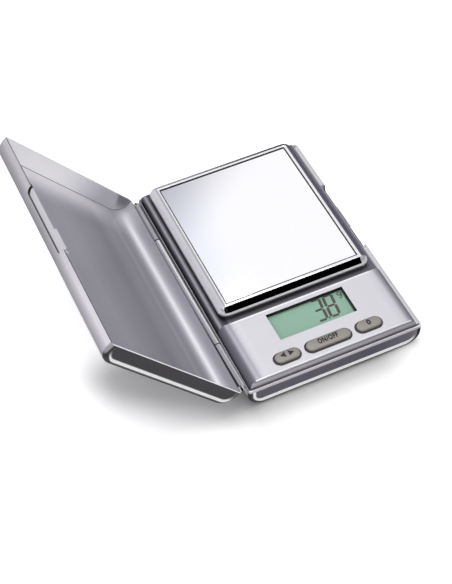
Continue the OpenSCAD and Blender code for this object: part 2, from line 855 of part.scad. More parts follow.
module support_screw(i) {
    len = support_t + support_pad + cell_h - 2;
    top = support_z + support_t;
    color(steel) at_cell_screw(-1, i) difference() {
        translate([0, 0, top]) mirror([0, 0, 1])
            countersunk(cell_screw_d, cell_screw_head_d, 0, len, 0);
        translate([0, 0, top]) cube([3, 0.6, 1], center = true);
    }
}

module overload_screw() {
    color(steel) translate([h_mid, cell_y - clamp_mid, 0]) difference() {
        disc(overload_d / 2, sheet + seat, cell_z - pan_travel - seat);
        translate([0, 0, sheet + seat]) cube([overload_d + over, 0.4, 0.8], center = true);
    }
}

module strain_gauge(side, low) {
    color("goldenrod") translate([h_mid, cell_y + side * flexure_pitch / 2, low + gauge_t / 2])
        cube([gauge_side, gauge_side, gauge_t], center = true);
}

// Ribbon from the side of the load cell to the underside of the board
module gauge_ribbon() {
    right = h_mid - cell_wid / 2;
    low = cell_z + 1.4;
    back = cell_y - flexure_pitch / 2 + flexure_d / 2;
    t = ribbon_t;
    color("firebrick") along_x(right - ribbon_wid, right) polygon([
        [back, low], [back, low + t], [board_back + 7, low + t], [board_back + 1, board_z],
        [board_back - 2, board_z], [board_back - 2, board_z - t], [board_back + 0.8, board_z - t],
        [board_back + 6.8, low]
    ]);
}

module pan_support() {
    top = support_z + support_t;
    free_y = cell_y - clamp_mid;
    color("gainsboro") difference() {
        union() {
            for (side = [-1, 1]) bar(
                [-post_across - support_arm / 2, post_across + support_arm / 2],
                [pan_y + side * post_along - support_arm / 2, pan_y + side * post_along + support_arm / 2],
                [support_z, top]);
            bar([h_mid - support_arm, h_mid + support_arm],
                [pan_y - post_along - support_arm / 2, pan_y + post_along + support_arm / 2],
                [support_z, top]);
            at_posts() disc(post_d / 2, support_z, web_z);
            bar([h_mid - cell_wid / 2, h_mid + cell_wid / 2],
                [free_y - clamp_len / 2, free_y + clamp_len / 2], [cell_top, top]);
        }
        for (i = [0, 1]) at_cell_screw(-1, i) translate([0, 0, top]) mirror([0, 0, 1])
            countersunk(cell_screw_d, cell_screw_head_d, 0, support_t + cell_h, screw_fit);
    }
}

module pan_frame() {
    hole_wid = pan_wid - 2 * skirt_r - 2 * pan_rim;
    hole_len = pan_len - 2 * skirt_r - 2 * pan_rim;
    half_wid = pan_wid / 2;
    half_len = pan_len / 2;
    color(silver) translate([0, pan_y, 0]) difference() {
        intersection() {
            along_y(-half_len, half_len) section(-half_wid, half_wid, pan_low, pan_z, 0, skirt_r);
            along_x(-half_wid, half_wid) section(-half_len, half_len, pan_low, pan_z, 0, skirt_r);
        }
        bar([-hole_wid / 2, hole_wid / 2], [-hole_len / 2, hole_len / 2], [mirror_z, pan_z + over]);
        bar([-half_wid + pan_wall, half_wid - pan_wall], [-half_len + pan_wall, half_len - pan_wall],
            [pan_low - over, web_z]);
    }
}

module mirror_plate() {
    wid = pan_wid - 2 * (skirt_r + pan_rim + mirror_gap);
    len = pan_len - 2 * (skirt_r + pan_rim + mirror_gap);
    color([0.93, 0.94, 0.97])
        bar([-wid / 2, wid / 2], [pan_y - len / 2, pan_y + len / 2], [mirror_z, mirror_z + mirror_t]);
}

base_case();
hinge_leaf_base();
hinge_pin();
catch_spring();
catch_tab();
cover_case();
hinge_leaf_cover();
catch_strike();
housing_bottom();
housing_top();
housing_screw(0);  // housing_screw_1
housing_screw(1);  // housing_screw_2
housing_screw(2);  // housing_screw_3
housing_screw(3);  // housing_screw_4
display_window();
display_glass();
display_strip(-1);  // display_strip_front
display_strip(1);  // display_strip_back
circuit_board();
board_screw(-1);  // board_screw_left
board_screw(1);  // board_screw_right
coated_chip();
key_switch(-1);  // key_switch_left
key_switch(0);  // key_switch_middle
key_switch(1);  // key_switch_right
button(-1);  // button_left
button(0);  // button_middle
button(1);  // button_right
battery_cap();
coin_cell();
battery_contact_side();
battery_contact_top();
load_cell();
load_cell_screw(0);  // load_cell_screw_1
load_cell_screw(1);  // load_cell_screw_2
overload_screw();
strain_gauge(-1, cell_top);  // strain_gauge_1
strain_gauge(1, cell_top);  // strain_gauge_2
strain_gauge(-1, cell_z - gauge_t);  // strain_gauge_3
strain_gauge(1, cell_z - gauge_t);  // strain_gauge_4
gauge_ribbon();
pan_support();
support_screw(0);  // support_screw_1
support_screw(1);  // support_screw_2
pan_frame();
mirror_plate();
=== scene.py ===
"""Finishes and fine detail of a pocket scale in a folding sheet-steel case.

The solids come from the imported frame. Sizes are in millimetres, and each mesh is made in
metres at the place where its piece stands with the cover open.
"""

import json
import logging
import math
from collections.abc import Callable, Mapping, Sequence
from dataclasses import dataclass
from enum import Enum, IntEnum
from typing import ClassVar, NamedTuple

import bmesh
import bpy
from mathutils import Matrix, Vector


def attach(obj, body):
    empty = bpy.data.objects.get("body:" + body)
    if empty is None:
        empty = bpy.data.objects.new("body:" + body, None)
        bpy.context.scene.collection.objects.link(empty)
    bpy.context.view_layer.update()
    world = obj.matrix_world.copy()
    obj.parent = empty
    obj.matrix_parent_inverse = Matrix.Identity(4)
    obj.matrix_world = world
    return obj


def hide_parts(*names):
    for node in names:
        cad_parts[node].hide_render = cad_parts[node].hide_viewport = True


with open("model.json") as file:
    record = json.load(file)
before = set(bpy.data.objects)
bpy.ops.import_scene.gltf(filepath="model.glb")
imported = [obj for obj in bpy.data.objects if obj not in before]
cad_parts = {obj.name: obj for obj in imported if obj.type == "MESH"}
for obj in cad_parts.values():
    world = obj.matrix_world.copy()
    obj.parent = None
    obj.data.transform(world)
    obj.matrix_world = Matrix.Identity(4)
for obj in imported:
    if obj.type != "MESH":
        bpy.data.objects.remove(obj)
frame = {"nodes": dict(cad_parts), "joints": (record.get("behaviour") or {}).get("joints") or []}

LOG = logging.getLogger("pocket_scale")
MM = 0.001
SAME_POINT = 0.002  # mm between points of the frame that are one point
FLAT_DEG = 0.5  # faces this close to level are joined
SHARP_DEG = 35.0  # edges sharper than this are softened
Colour = tuple[float, float, float]
Point = tuple[float, float, float]
Outline = list[tuple[float, float]]
Settings = Mapping[str, object] | None
Inputs = Mapping[str | int, object] | None
Piece = bpy.types.Object


def srgb(red: float, green: float, blue: float) -> Colour:
    """Turns a colour seen on screen into the linear one that shaders take.

    Args:
        red: Red, from 0 to 255.
        green: Green, from 0 to 255.
        blue: Blue, from 0 to 255.

    Returns:
        The linear colour.
    """
    parts = (value / 255 for value in (red, green, blue))
    return tuple(p / 12.92 if p <= 0.04045 else ((p + 0.055) / 1.055) ** 2.4 for p in parts)


def linked(name: str, data: bpy.types.ID) -> Piece:
    """Makes an object in the scene.

    Args:
        name: Its name.
        data: What it shows.

    Returns:
        The object.
    """
    made = bpy.data.objects.new(name, data)
    bpy.context.scene.collection.objects.link(made)
    return made


def plain_mesh(carrier: Piece) -> bpy.types.Mesh:
    """Turns what an object shows into a plain mesh, and removes the object.

    Args:
        carrier: An object with lettering or with a tree.

    Returns:
        The mesh.
    """
    bpy.context.view_layer.update()
    seen = carrier.evaluated_get(bpy.context.evaluated_depsgraph_get())
    data = bpy.data.meshes.new_from_object(seen)
    bpy.data.objects.remove(carrier)
    return data


def moved(piece: Piece, matrix: Matrix) -> Piece:
    """Moves a piece's mesh to its place and returns the piece."""
    piece.data.transform(matrix)
    return piece


def at(x: float, y: float, z: float) -> Matrix:
    """Returns a shift in millimetres."""
    return Matrix.Translation(Vector((x, y, z)) * MM)


class Body(str, Enum):
    """Bodies of the frame that pieces ride on."""

    BASE = "base"
    COVER = "cover"
    PLATFORM = "platform"
    KEY_LEFT = "button_left"
    KEY_MIDDLE = "button_middle"
    KEY_RIGHT = "button_right"
    BATTERY_DOOR = "battery_door"
    CATCH = "catch"


class Region(IntEnum):
    """Regions of a pressed tray, in the order of its finishes."""

    OUTSIDE = 0
    INSIDE = 1
    END = 2
    RIM = 3
    NOTCH_EDGE = 4


class Maths(str, Enum):
    """Sums that a shader expression may hold."""

    ADD = "ADD"
    SUBTRACT = "SUBTRACT"
    MULTIPLY = "MULTIPLY"
    DIVIDE = "DIVIDE"
    POWER = "POWER"
    ABSOLUTE = "ABSOLUTE"
    MAXIMUM = "MAXIMUM"
    SINE = "SINE"
    FRACTION = "FRACT"
    LARGER = "GREATER_THAN"
    SMALLER = "LESS_THAN"


class Socket:
    """A shader value that Python arithmetic extends with Math nodes."""

    def __init__(self, graph: "Graph", socket: bpy.types.NodeSocket) -> None:
        """Wraps an output socket of a node in the graph."""
        self.graph = graph
        self.socket = socket

    def __add__(self, other: "Socket | float") -> "Socket":
        """Returns the sum."""
        return self.graph.maths(Maths.ADD, self, other)

    __radd__ = __add__

    def __sub__(self, other: "Socket | float") -> "Socket":
        """Returns the difference."""
        return self.graph.maths(Maths.SUBTRACT, self, other)

    def __rsub__(self, other: float) -> "Socket":
        """Returns a number less this value."""
        return self.graph.maths(Maths.SUBTRACT, other, self)

    def __mul__(self, other: "Socket | float") -> "Socket":
        """Returns the product."""
        return self.graph.maths(Maths.MULTIPLY, self, other)

    __rmul__ = __mul__

    def __truediv__(self, other: "Socket | float") -> "Socket":
        """Returns the quotient."""
        return self.graph.maths(Maths.DIVIDE, self, other)

    def __pow__(self, other: float) -> "Socket":
        """Returns the power."""
        return self.graph.maths(Maths.POWER, self, other)

    def __gt__(self, other: float) -> "Socket":
        """Returns 1 where this value is larger."""
        return self.graph.maths(Maths.LARGER, self, other)

    def __lt__(self, other: float) -> "Socket":
        """Returns 1 where this value is smaller."""
        return self.graph.maths(Maths.SMALLER, self, other)

    def __abs__(self) -> "Socket":
        """Returns the size of the value."""
        return self.graph.maths(Maths.ABSOLUTE, self)

    def at_least(self, other: "Socket | float") -> "Socket":
        """Returns the larger of the two."""
        return self.graph.maths(Maths.MAXIMUM, self, other)

    def span(self, other: "Socket") -> "Socket":
        """Returns the distance that this side and another at right angles span."""
        return (self * self + other * other) ** 0.5

    def rise(self, start: float, end: float) -> "Socket":
        """Returns 0 at start and 1 at end, and a smooth rise between."""
        return self.graph.value(
            "ShaderNodeMapRange", {"interpolation_type": "SMOOTHSTEP"},
            {"Value": self, "From Min": start, "From Max": end}, "Result")


class Graph:
    """The nodes of a material, a world or a shape."""

    def __init__(self, tree: bpy.types.NodeTree) -> None:
        """Empties the tree and keeps it."""
        self.tree = tree
        tree.nodes.clear()

    def node(self, kind: str, settings: Settings = None,
             inputs: Inputs = None) -> bpy.types.Node:
        """Adds a node.

        Args:
            kind: The node's type.
            settings: What is set on the node first, with a ramp's stops as pairs.
            inputs: Values or links of its sockets.

        Returns:
            The node.
        """
        made = self.tree.nodes.new(kind)
        for key, value in (settings or {}).items():
            if key == "stops":
                elements = made.color_ramp.elements
                while len(elements) < len(value):
                    elements.new(1.0)
                for element, (place, colour) in zip(elements, value):
                    element.position = place
                    element.color = (*colour, 1.0)
            else:
                setattr(made, key, value)
        for key, value in (inputs or {}).items():
            if isinstance(value, Socket):
                self.tree.links.new(value.socket, made.inputs[key])
            else:
                made.inputs[key].default_value = value
        return made

    def out(self, node: bpy.types.Node, name: str | int = 0) -> Socket:
        """Returns an output of a node as a value."""
        return Socket(self, node.outputs[name])

    def value(self, kind: str, settings: Settings = None, inputs: Inputs = None,
              name: str | int = 0) -> Socket:
        """Adds a node in the same way, and returns one of its outputs."""
        return self.out(self.node(kind, settings, inputs), name)

    def maths(self, operation: Maths, *operands: Socket | float) -> Socket:
        """Returns the result of a sum on values or numbers."""
        return self.value("ShaderNodeMath", {"operation": operation.value},
                          dict(enumerate(operands)))

    def mix(self, share: Socket | float, first: object, second: object) -> Socket:
        """Returns a colour between two, the second one at a share of 1."""
        low, high = (c if isinstance(c, Socket) else (*c, 1.0) for c in (first, second))
        return self.value("ShaderNodeMix", {"data_type": "RGBA"}, {0: share, 6: low, 7: high}, 2)

    def scaled(self, colour: object, amount: Socket | float) -> Socket:
        """Returns a colour made lighter or darker."""
        return self.value("ShaderNodeVectorMath", {"operation": "SCALE"},
                          {0: colour, "Scale": amount})

    def ramp(self, value: Socket, stops: Sequence[tuple]) -> Socket:
        """Looks a value up on a ramp of colours.

        Args:
            value: What is looked up.
            stops: Places in rising order, each with its colour, or with its red, green
                and blue from 0 to 255.

        Returns:
            The colour.
        """
        low, high = stops[0][0], stops[-1][0]
        places = [((place - low) / (high - low),
                   srgb(*colour) if len(colour) == 3 else colour[0])
                  for place, *colour in stops]
        return self.value("ShaderNodeValToRGB", {"stops": places},
                          {0: (value - low) / (high - low)})

    def position(self) -> Socket:
        """Returns the place on the object, in millimetres."""
        return self.value("ShaderNodeMapping", None, {
            "Vector": self.value("ShaderNodeTexCoord", name="Object"), "Scale": (1 / MM,) * 3})

    def axes(self, vector: Socket) -> tuple[Socket, Socket, Socket]:
        """Returns the three parts of a vector."""
        node = self.node("ShaderNodeSeparateXYZ", None, {0: vector})
        return self.out(node, 0), self.out(node, 1), self.out(node, 2)

    def vector(self, x: object, y: object, z: object) -> Socket:
        """Returns a vector of three values."""
        return self.value("ShaderNodeCombineXYZ", None, {0: x, 1: y, 2: z})

    def noise(self, vector: Socket, scale: float = 1.0, detail: float = 2.0,
              contrast: float = 0.5) -> Socket:
        """Returns soft noise from 0 to 1."""
        return self.value("ShaderNodeTexNoise", None, {
            "Vector": vector, "Scale": scale, "Detail": detail, "Roughness": contrast})


class Spot(NamedTuple):
    """A place on a surface as a shader sees it, with the graph that the values are in.

    Attributes:
        graph: Nodes of the material.
        x: Place across.
        y: Place along the hinge.
        z: Height.
    """

    graph: Graph
    x: Socket
    y: Socket
    z: Socket


@dataclass(frozen=True)
class TrayPlace:
    """Where a pressed tray lies, and how its own axes run.

    Attributes:
        origin: The middle of its outer floor.
        across: Direction of its width.
        up: Direction from its floor to its rim.
    """

    origin: Point = (0.0, 0.0, 0.0)
    across: Point = (1.0, 0.0, 0.0)
    up: Point = (0.0, 0.0, 1.0)

    def local(self, point: Vector) -> Vector:
        """Returns a place in the tray's own axes."""
        offset = point - Vector(self.origin)
        return Vector((offset.dot(Vector(self.across)), point.y, offset.dot(Vector(self.up))))

    def turned(self, normal: Vector) -> Vector:
        """Returns a direction in the tray's own axes."""
        return Vector((normal.dot(Vector(self.across)), normal.y, normal.dot(Vector(self.up))))

    def axes(self, graph: Graph) -> tuple[Socket, Socket, Socket]:
        """Returns the tray's own coordinates in a shader."""
        x, y, z = graph.axes(graph.position())
        x, z = x - self.origin[0], z - self.origin[2]
        return (x * self.across[0] + z * self.across[2], y, x * self.up[0] + z * self.up[2])


@dataclass
class Look:
    """What changes over a surface.

    Attributes:
        colour: Its colour.
        roughness: How matt it is.
        relief: Height of its relief, from 0 to 1.
        metallic: How metallic it is, where that changes.
        glow: The colour that it shines with by itself as painted light, if any.
    """

    colour: object
    roughness: object
    relief: Socket | None = None
    metallic: object = None
    glow: object = None


@dataclass(frozen=True)
class Finish:
    """A plain finish with faint mottling.

    Attributes:
        name: Name of the material.
        colour: Its colour.
        roughness: How matt it is.
        metallic: 1 for bare metal, 0 for anything else.
        coat: Weight of a clear coat.
        relief: Height of its relief in millimetres.
    """

    name: str
    colour: Colour
    roughness: float = 0.5
    metallic: float = 0.0
    coat: float = 0.0
    relief: float = 0.01

    def look(self, graph: Graph) -> Look:
        """Mixes what changes over the surface.

        Args:
            graph: Nodes of the material.

        Returns:
            Its colour, roughness and the rest.
        """
        place = graph.position()
        speck = graph.noise(place, 3.0, 3.0)
        cloud = graph.noise(place, 0.15, 2.0)
        tone = 0.94 + 0.06 * speck + 0.06 * cloud
        return Look(graph.scaled(self.colour, tone),
                    self.roughness + 0.12 * (speck - 0.5), speck)

    def constants(self) -> dict[str, object]:
        """Returns the settings that are the same all over."""
        return {"Metallic": self.metallic, "Coat Weight": self.coat, "Coat Roughness": 0.12}

    def material(self) -> bpy.types.Material:
        """Makes the material at its first use.

        Returns:
            The material.
        """
        name = "finish_" + self.name
        made = bpy.data.materials.get(name)
        if made:
            return made
        made = bpy.data.materials.new(name)
        made.use_nodes = True
        made.diffuse_color = (*self.colour, 1.0)
        graph = Graph(made.node_tree)
        look = self.look(graph)
        inputs = self.constants() | {"Base Color": look.colour, "Roughness": look.roughness}
        if look.metallic is not None:
            inputs["Metallic"] = look.metallic
        if look.glow is not None:
            inputs |= {"Emission Color": look.glow, "Emission Strength": 1.0}
        if look.relief is not None:
            inputs["Normal"] = graph.value("ShaderNodeBump", None, {
                "Strength": 1.0, "Distance": self.relief * MM, "Height": look.relief})
        graph.node("ShaderNodeOutputMaterial", None, {
            0: graph.value("ShaderNodeBsdfPrincipled", None, inputs)})
        return made


@dataclass(frozen=True)
class BrushedSteel(Finish):
    """Rolled sheet with a grain.

    Attributes:
        relief: Height of its relief in millimetres.
        place: The tray whose axes the grain follows.
        grain: Strokes per millimetre along each of those axes.
        streaks: How much the grain changes the colour.
    """

    relief: float = 0.0008
    place: TrayPlace = TrayPlace()
    grain: Point = (5.0, 0.05, 5.0)
    streaks: float = 0.1

    def tone(self, spot: Spot) -> object:
        """Returns the colour before the grain."""
        return self.colour

    def shine(self, spot: Spot) -> object:
        """Returns how metallic the surface is, where that changes over it."""
        return None

    def painted_glow_share(self, spot: Spot) -> Socket | None:
        """Returns the share of its colour that it glows with as painted light, if any."""
        return None

    def look(self, graph: Graph) -> Look:
        """Mixes what changes over the surface.

        Args:
            graph: Nodes of the material.

        Returns:
            Its colour, roughness and the rest.
        """
        x, y, z = self.place.axes(graph)
        strokes = graph.vector(*(a * g for a, g in zip((x, y, z), self.grain)))
        fine = graph.noise(strokes, 1.0, 3.0, 0.6)
        bands = graph.noise(strokes, 0.08, 2.0)
        share = 1 + self.streaks * (fine - 0.5) + 0.8 * self.streaks * (bands - 0.5)
        spot = Spot(graph, x, y, z)
        colour = graph.scaled(self.tone(spot), share)
        painted_glow_share = self.painted_glow_share(spot)
        return Look(colour, self.roughness + 0.15 * (fine - 0.5), fine,
                    self.shine(spot), painted_glow_share and graph.scaled(colour, painted_glow_share))


@dataclass(frozen=True)
class TrayOuter(BrushedSteel):
    """Outside of a pressed tray, with painted shade: light at the rim, darker round the bends.

    Attributes:
        depth: Height of the tray.
        low: Colour of the painted shade on the floor and bends.
    """

    depth: float = 10.0
    low: Colour = srgb(120, 117, 130)

    def tone(self, spot: Spot) -> object:
        """Mixes the colour before the grain.

        Args:
            spot: Place on the surface.

        Returns:
            The colour.
        """
        graph, _, y, z = spot
        # Painted shade low down round the bends, and painted light growing towards the front end.
        side = graph.ramp(z / self.depth, [
            (0.0, self.low), (0.3, self.low), (0.62, 186, 182, 191), (0.8, self.colour),
            (1.0, self.colour)])
        return graph.scaled(side, 1 + 0.36 * (0 - y).rise(-12.0, 34.0))


@dataclass(frozen=True)
class TrayInner(BrushedSteel):
    """Inside of the cover, with a painted highlight in its bend and painted light and shade
    elsewhere.

    Attributes:
        half_width: Half the width of the tray.
        half_length: Half the length inside the tray.
    """

    half_width: float = 37.3
    half_length: float = 54.4

    def tone(self, spot: Spot) -> object:
        """Mixes the colour before the grain.

        Args:
            spot: Place on the surface.

        Returns:
            The colour.
        """
        graph, x, y, z = spot
        edge = x + self.half_width
        # Painted highlight along the hinge-side bend, with soft painted light and shade across the
        # floor.
        bend = graph.ramp(edge, [
            (0.0, 180, 178, 187), (1.1, 172, 170, 179), (1.5, 198, 196, 204), (1.9, 230, 229, 234),
            (2.4, 224, 222, 228), (3.2, 190, 188, 197), (4.5, 168, 166, 176), (7.0, 163, 161, 172),
            (9.5, 180, 178, 187), (11.5, 166, 164, 175), (16.0, 172, 170, 180),
            (24.0, self.colour), (30.0, 167, 165, 176), (38.0, 177, 175, 186),
            (48.0, 187, 185, 196), (60.0, 187, 186, 196)])
        warm = graph.noise(graph.vector(edge * 0.06, y * 0.02, 0.0), 1.0, 1.0)
        # Painted light: the floor grows paler towards the far end wall, most on the free side.
        floor = graph.mix(y.rise(35.0, 54.5), bend, graph.mix(
            edge.rise(5.0, 22.0), srgb(212, 210, 217), srgb(254, 252, 255)))
        floor = graph.scaled(floor, 0.93 + 0.14 * warm)
        # Far end wall paler towards the free side, as painted light.
        wall = graph.ramp(edge, [
            (0.0, 214, 212, 220), (7.0, 216, 214, 222), (9.0, 212, 211, 218),
            (16.0, 214, 213, 220), (22.0, 228, 227, 233), (30.0, 242, 241, 246),
            (40.0, 252, 251, 254)])
        # Painted shade: a slanting dark patch on the end wall near the hinge, darkest near the
        # rim.
        shade = (edge - 5.7 + 0.7 * (4.2 - z)).rise(-1.6, 1.3)
        deep = graph.mix(z.rise(1.0, 6.0), srgb(204, 202, 210), srgb(136, 134, 142))
        wall = graph.mix(shade, deep, wall)
        # Painted shade: a dark line along the crease between the floor and the end wall.
        seam = y.rise(self.half_length - 1.1, self.half_length - 0.75)
        line = graph.mix(seam, floor, srgb(150, 148, 158))
        return graph.mix(self.on_wall(y), line, wall)

    def on_wall(self, y: Socket) -> Socket:
        """Returns 1 on the far end wall and 0 elsewhere."""
        return y.rise(self.half_length - 0.5, self.half_length - 0.25)

    def shine(self, spot: Spot) -> object:
        """Returns how metallic the surface is, less on the end wall than on the floor."""
        return self.metallic * (1 - 0.9 * self.on_wall(spot.y))

    def painted_glow_share(self, spot: Spot) -> Socket | None:
        """Returns the share of its colour that the end wall glows with as painted light."""
        edge = spot.x + self.half_width
        return self.on_wall(spot.y) * (0.1 + 0.15 * edge.rise(12.0, 38.0))


@dataclass(frozen=True)
class TrayRim(BrushedSteel):
    """Cut rim of a tray, in one colour along its sides and another at its ends, with painted light
    and shade.

    Attributes:
        ends: Colour of the painted highlight at its ends.
        hinge: Colour along the hinge side, darker as painted shade.
        half_length: Half the length of the tray.
        half_width: Half its width.
        bright: How strongly its ends glow as painted light.
    """

    ends: Colour = srgb(248, 246, 250)
    hinge: Colour = srgb(166, 164, 172)
    half_length: float = 55.0
    half_width: float = 37.3
    bright: float = 0.05

    def tone(self, spot: Spot) -> object:
        """Mixes the colour before the grain.

        Args:
            spot: Place on the surface.

        Returns:
            The colour.
        """
        graph, x, y, _ = spot
        # Painted shade: a dark outer edge of the rim along the hinge side.
        outer = (0 - x).rise(self.half_width - 0.36, self.half_width - 0.26)
        hinge = graph.mix(outer, self.hinge, srgb(52, 50, 56))
        side = graph.mix(x > 0, hinge, self.colour)
        # Painted highlight on the rim at both ends.
        rim = graph.mix(self.on_end(abs(y)), side, self.ends)
        # Painted shade along the outer edge of the rim at the far end.
        return graph.mix(self.on_edge(y), rim, srgb(104, 102, 112))

    def on_end(self, y: Socket) -> Socket:
        """Returns 1 on the rim of the far end and 0 elsewhere."""
        return y.rise(self.half_length - 0.75, self.half_length - 0.65)

    def on_edge(self, y: Socket) -> Socket:
        """Returns 1 along the outer edge of that rim and 0 elsewhere."""
        return y.rise(self.half_length - 0.4, self.half_length - 0.34)

    def painted_glow_share(self, spot: Spot) -> Socket | None:
        """Returns the share of its colour that its ends glow with as painted light."""
        back = self.on_end(spot.y) * (1 - self.on_edge(spot.y))
        return self.bright * (self.on_end(0 - spot.y) + back)


@dataclass(frozen=True)
class TrayEnd(BrushedSteel):
    """End of a pressed tray: a dark panel of painted reflection in a bead of painted highlight.

    Attributes:
        half_width: Half the width of the tray.
        bend_r: Radius of its long bends.
        bead: How far in the painted highlight of the bead reaches.
        shadow: Width of the painted shadow line outside the bead.
        free_shadow: How much wider that line is on the free side.
        hinge_shadow: How much wider it is on the hinge side.
        hinge_bead: How much narrower the bead is there.
        hinge_fade: How far the bead fades there.
        free_side: How pale the painted light on the outermost part of the free side is.
        depth: Height of the tray.
        lip: Height of the painted highlight band along the rim.
        far: Colour of the panel at its right end, paler as painted light.
    """

    half_width: float = 37.3
    bend_r: float = 6.5
    bead: float = 3.5
    shadow: float = 1.65
    free_shadow: float = 0.5
    hinge_shadow: float = 0.2
    hinge_bead: float = 0.6
    hinge_fade: float = 0.0
    free_side: float = 0.0
    depth: float = 10.0
    lip: float = 0.0
    far: Colour = srgb(146, 144, 156)

    def inset(self, x: Socket, z: Socket) -> Socket:
        """Returns the distance from the outline of the tray, in millimetres."""
        across = (abs(x) - (self.half_width - self.bend_r)).at_least(0.0)
        down = (self.bend_r - z).at_least(0.0)
        return self.bend_r - across.span(down)

    def shares(self, spot: Spot) -> tuple[Socket, ...]:
        """Finds the bands that run round the end.

        Args:
            spot: Place on the surface.

        Returns:
            How far it is past the dark line, past the bead, faded and on the lip.
        """
        inset, z = self.inset(spot.x, spot.z), spot.z
        free, hinge = (side.rise(self.half_width - 7.0, self.half_width - 3.0)
                       for side in (spot.x, 0 - spot.x))
        line = inset - self.free_shadow * free - self.hinge_shadow * hinge
        past_bead = (inset + self.hinge_bead * hinge).rise(self.bead - 0.35, self.bead + 0.35)
        fade = (free + self.hinge_fade * hinge) * z.rise(2.6, 6.0)
        lip = z.rise(self.depth - self.lip - 0.15, self.depth - self.lip + 0.15)
        return line.rise(self.shadow - 0.3, self.shadow + 0.35), past_bead, fade, lip

    def tone(self, spot: Spot) -> object:
        """Mixes the colour before the grain.

        Args:
            spot: Place on the surface.

        Returns:
            The colour.
        """
        graph, x, _, z = spot
        past_line, past_bead, fade, lip = self.shares(spot)
        # Dark panel of painted reflection, paler to the right as painted light.
        panel = graph.mix(x.rise(14.0, 36.0), self.colour, self.far)
        # Painted highlight of the bead, fading into the panel upwards at the sides.
        bright = graph.mix(fade, srgb(254, 254, 255), panel)
        # Painted light on the outermost part of the free side.
        side = self.free_side * x.rise(self.half_width - 1.3, self.half_width - 0.9)
        side = side * z.rise(2.4, 5.0)
        dark = graph.mix(side, srgb(18, 15, 19), srgb(190, 186, 194))
        # Painted shadow line outside the bead.
        edge = graph.mix(past_line, dark, bright)
        panel = graph.mix(past_bead, edge, panel)
        # Painted highlight band along the rim.
        return graph.mix(lip, panel, srgb(218, 213, 220))

    def shine(self, spot: Spot) -> object:
        """Returns how metallic the surface is: the panel more than the bead round it."""
        _, past_bead, _, lip = self.shares(spot)
        return self.metallic * past_bead * (1 - lip)

    def painted_glow_share(self, spot: Spot) -> Socket | None:
        """Returns the share of its colour that the bead glows with as painted light."""
        past_line, past_bead, fade, lip = self.shares(spot)
        return 0.18 * past_line * (1 - past_bead) * (1 - fade) * (1 - lip)


@dataclass(frozen=True)
class StrikeSteel(BrushedSteel):
    """Strike plate, with a painted shadow line along the edge of the notch that it fills.

    Attributes:
        back: Back end of the notch.
        low: Height of the notch's lower edge in the tray.
        corner_r: Radius of its back corner.
        line: Width of the painted shadow line.
    """

    back: float = 26.2
    low: float = 5.6
    corner_r: float = 2.5
    line: float = 0.3

    def tone(self, spot: Spot) -> object:
        """Mixes the colour before the grain.

        Args:
            spot: Place on the surface.

        Returns:
            The colour.
        """
        graph, _, y, z = spot
        along = (y - (self.back - self.corner_r)).at_least(0.0)
        down = (self.low + self.corner_r - z).at_least(0.0)
        inset = self.corner_r - along.span(down)
        corner = y.rise(self.back - 3.0, self.back - 1.0)
        line = inset - 0.35 * corner
        # Painted shadow along the notch's edge, darkest at its back corner.
        return graph.mix(line.rise(self.line - 0.12, self.line + 0.12), graph.mix(
            corner, srgb(112, 108, 116), srgb(40, 36, 42)), self.colour)


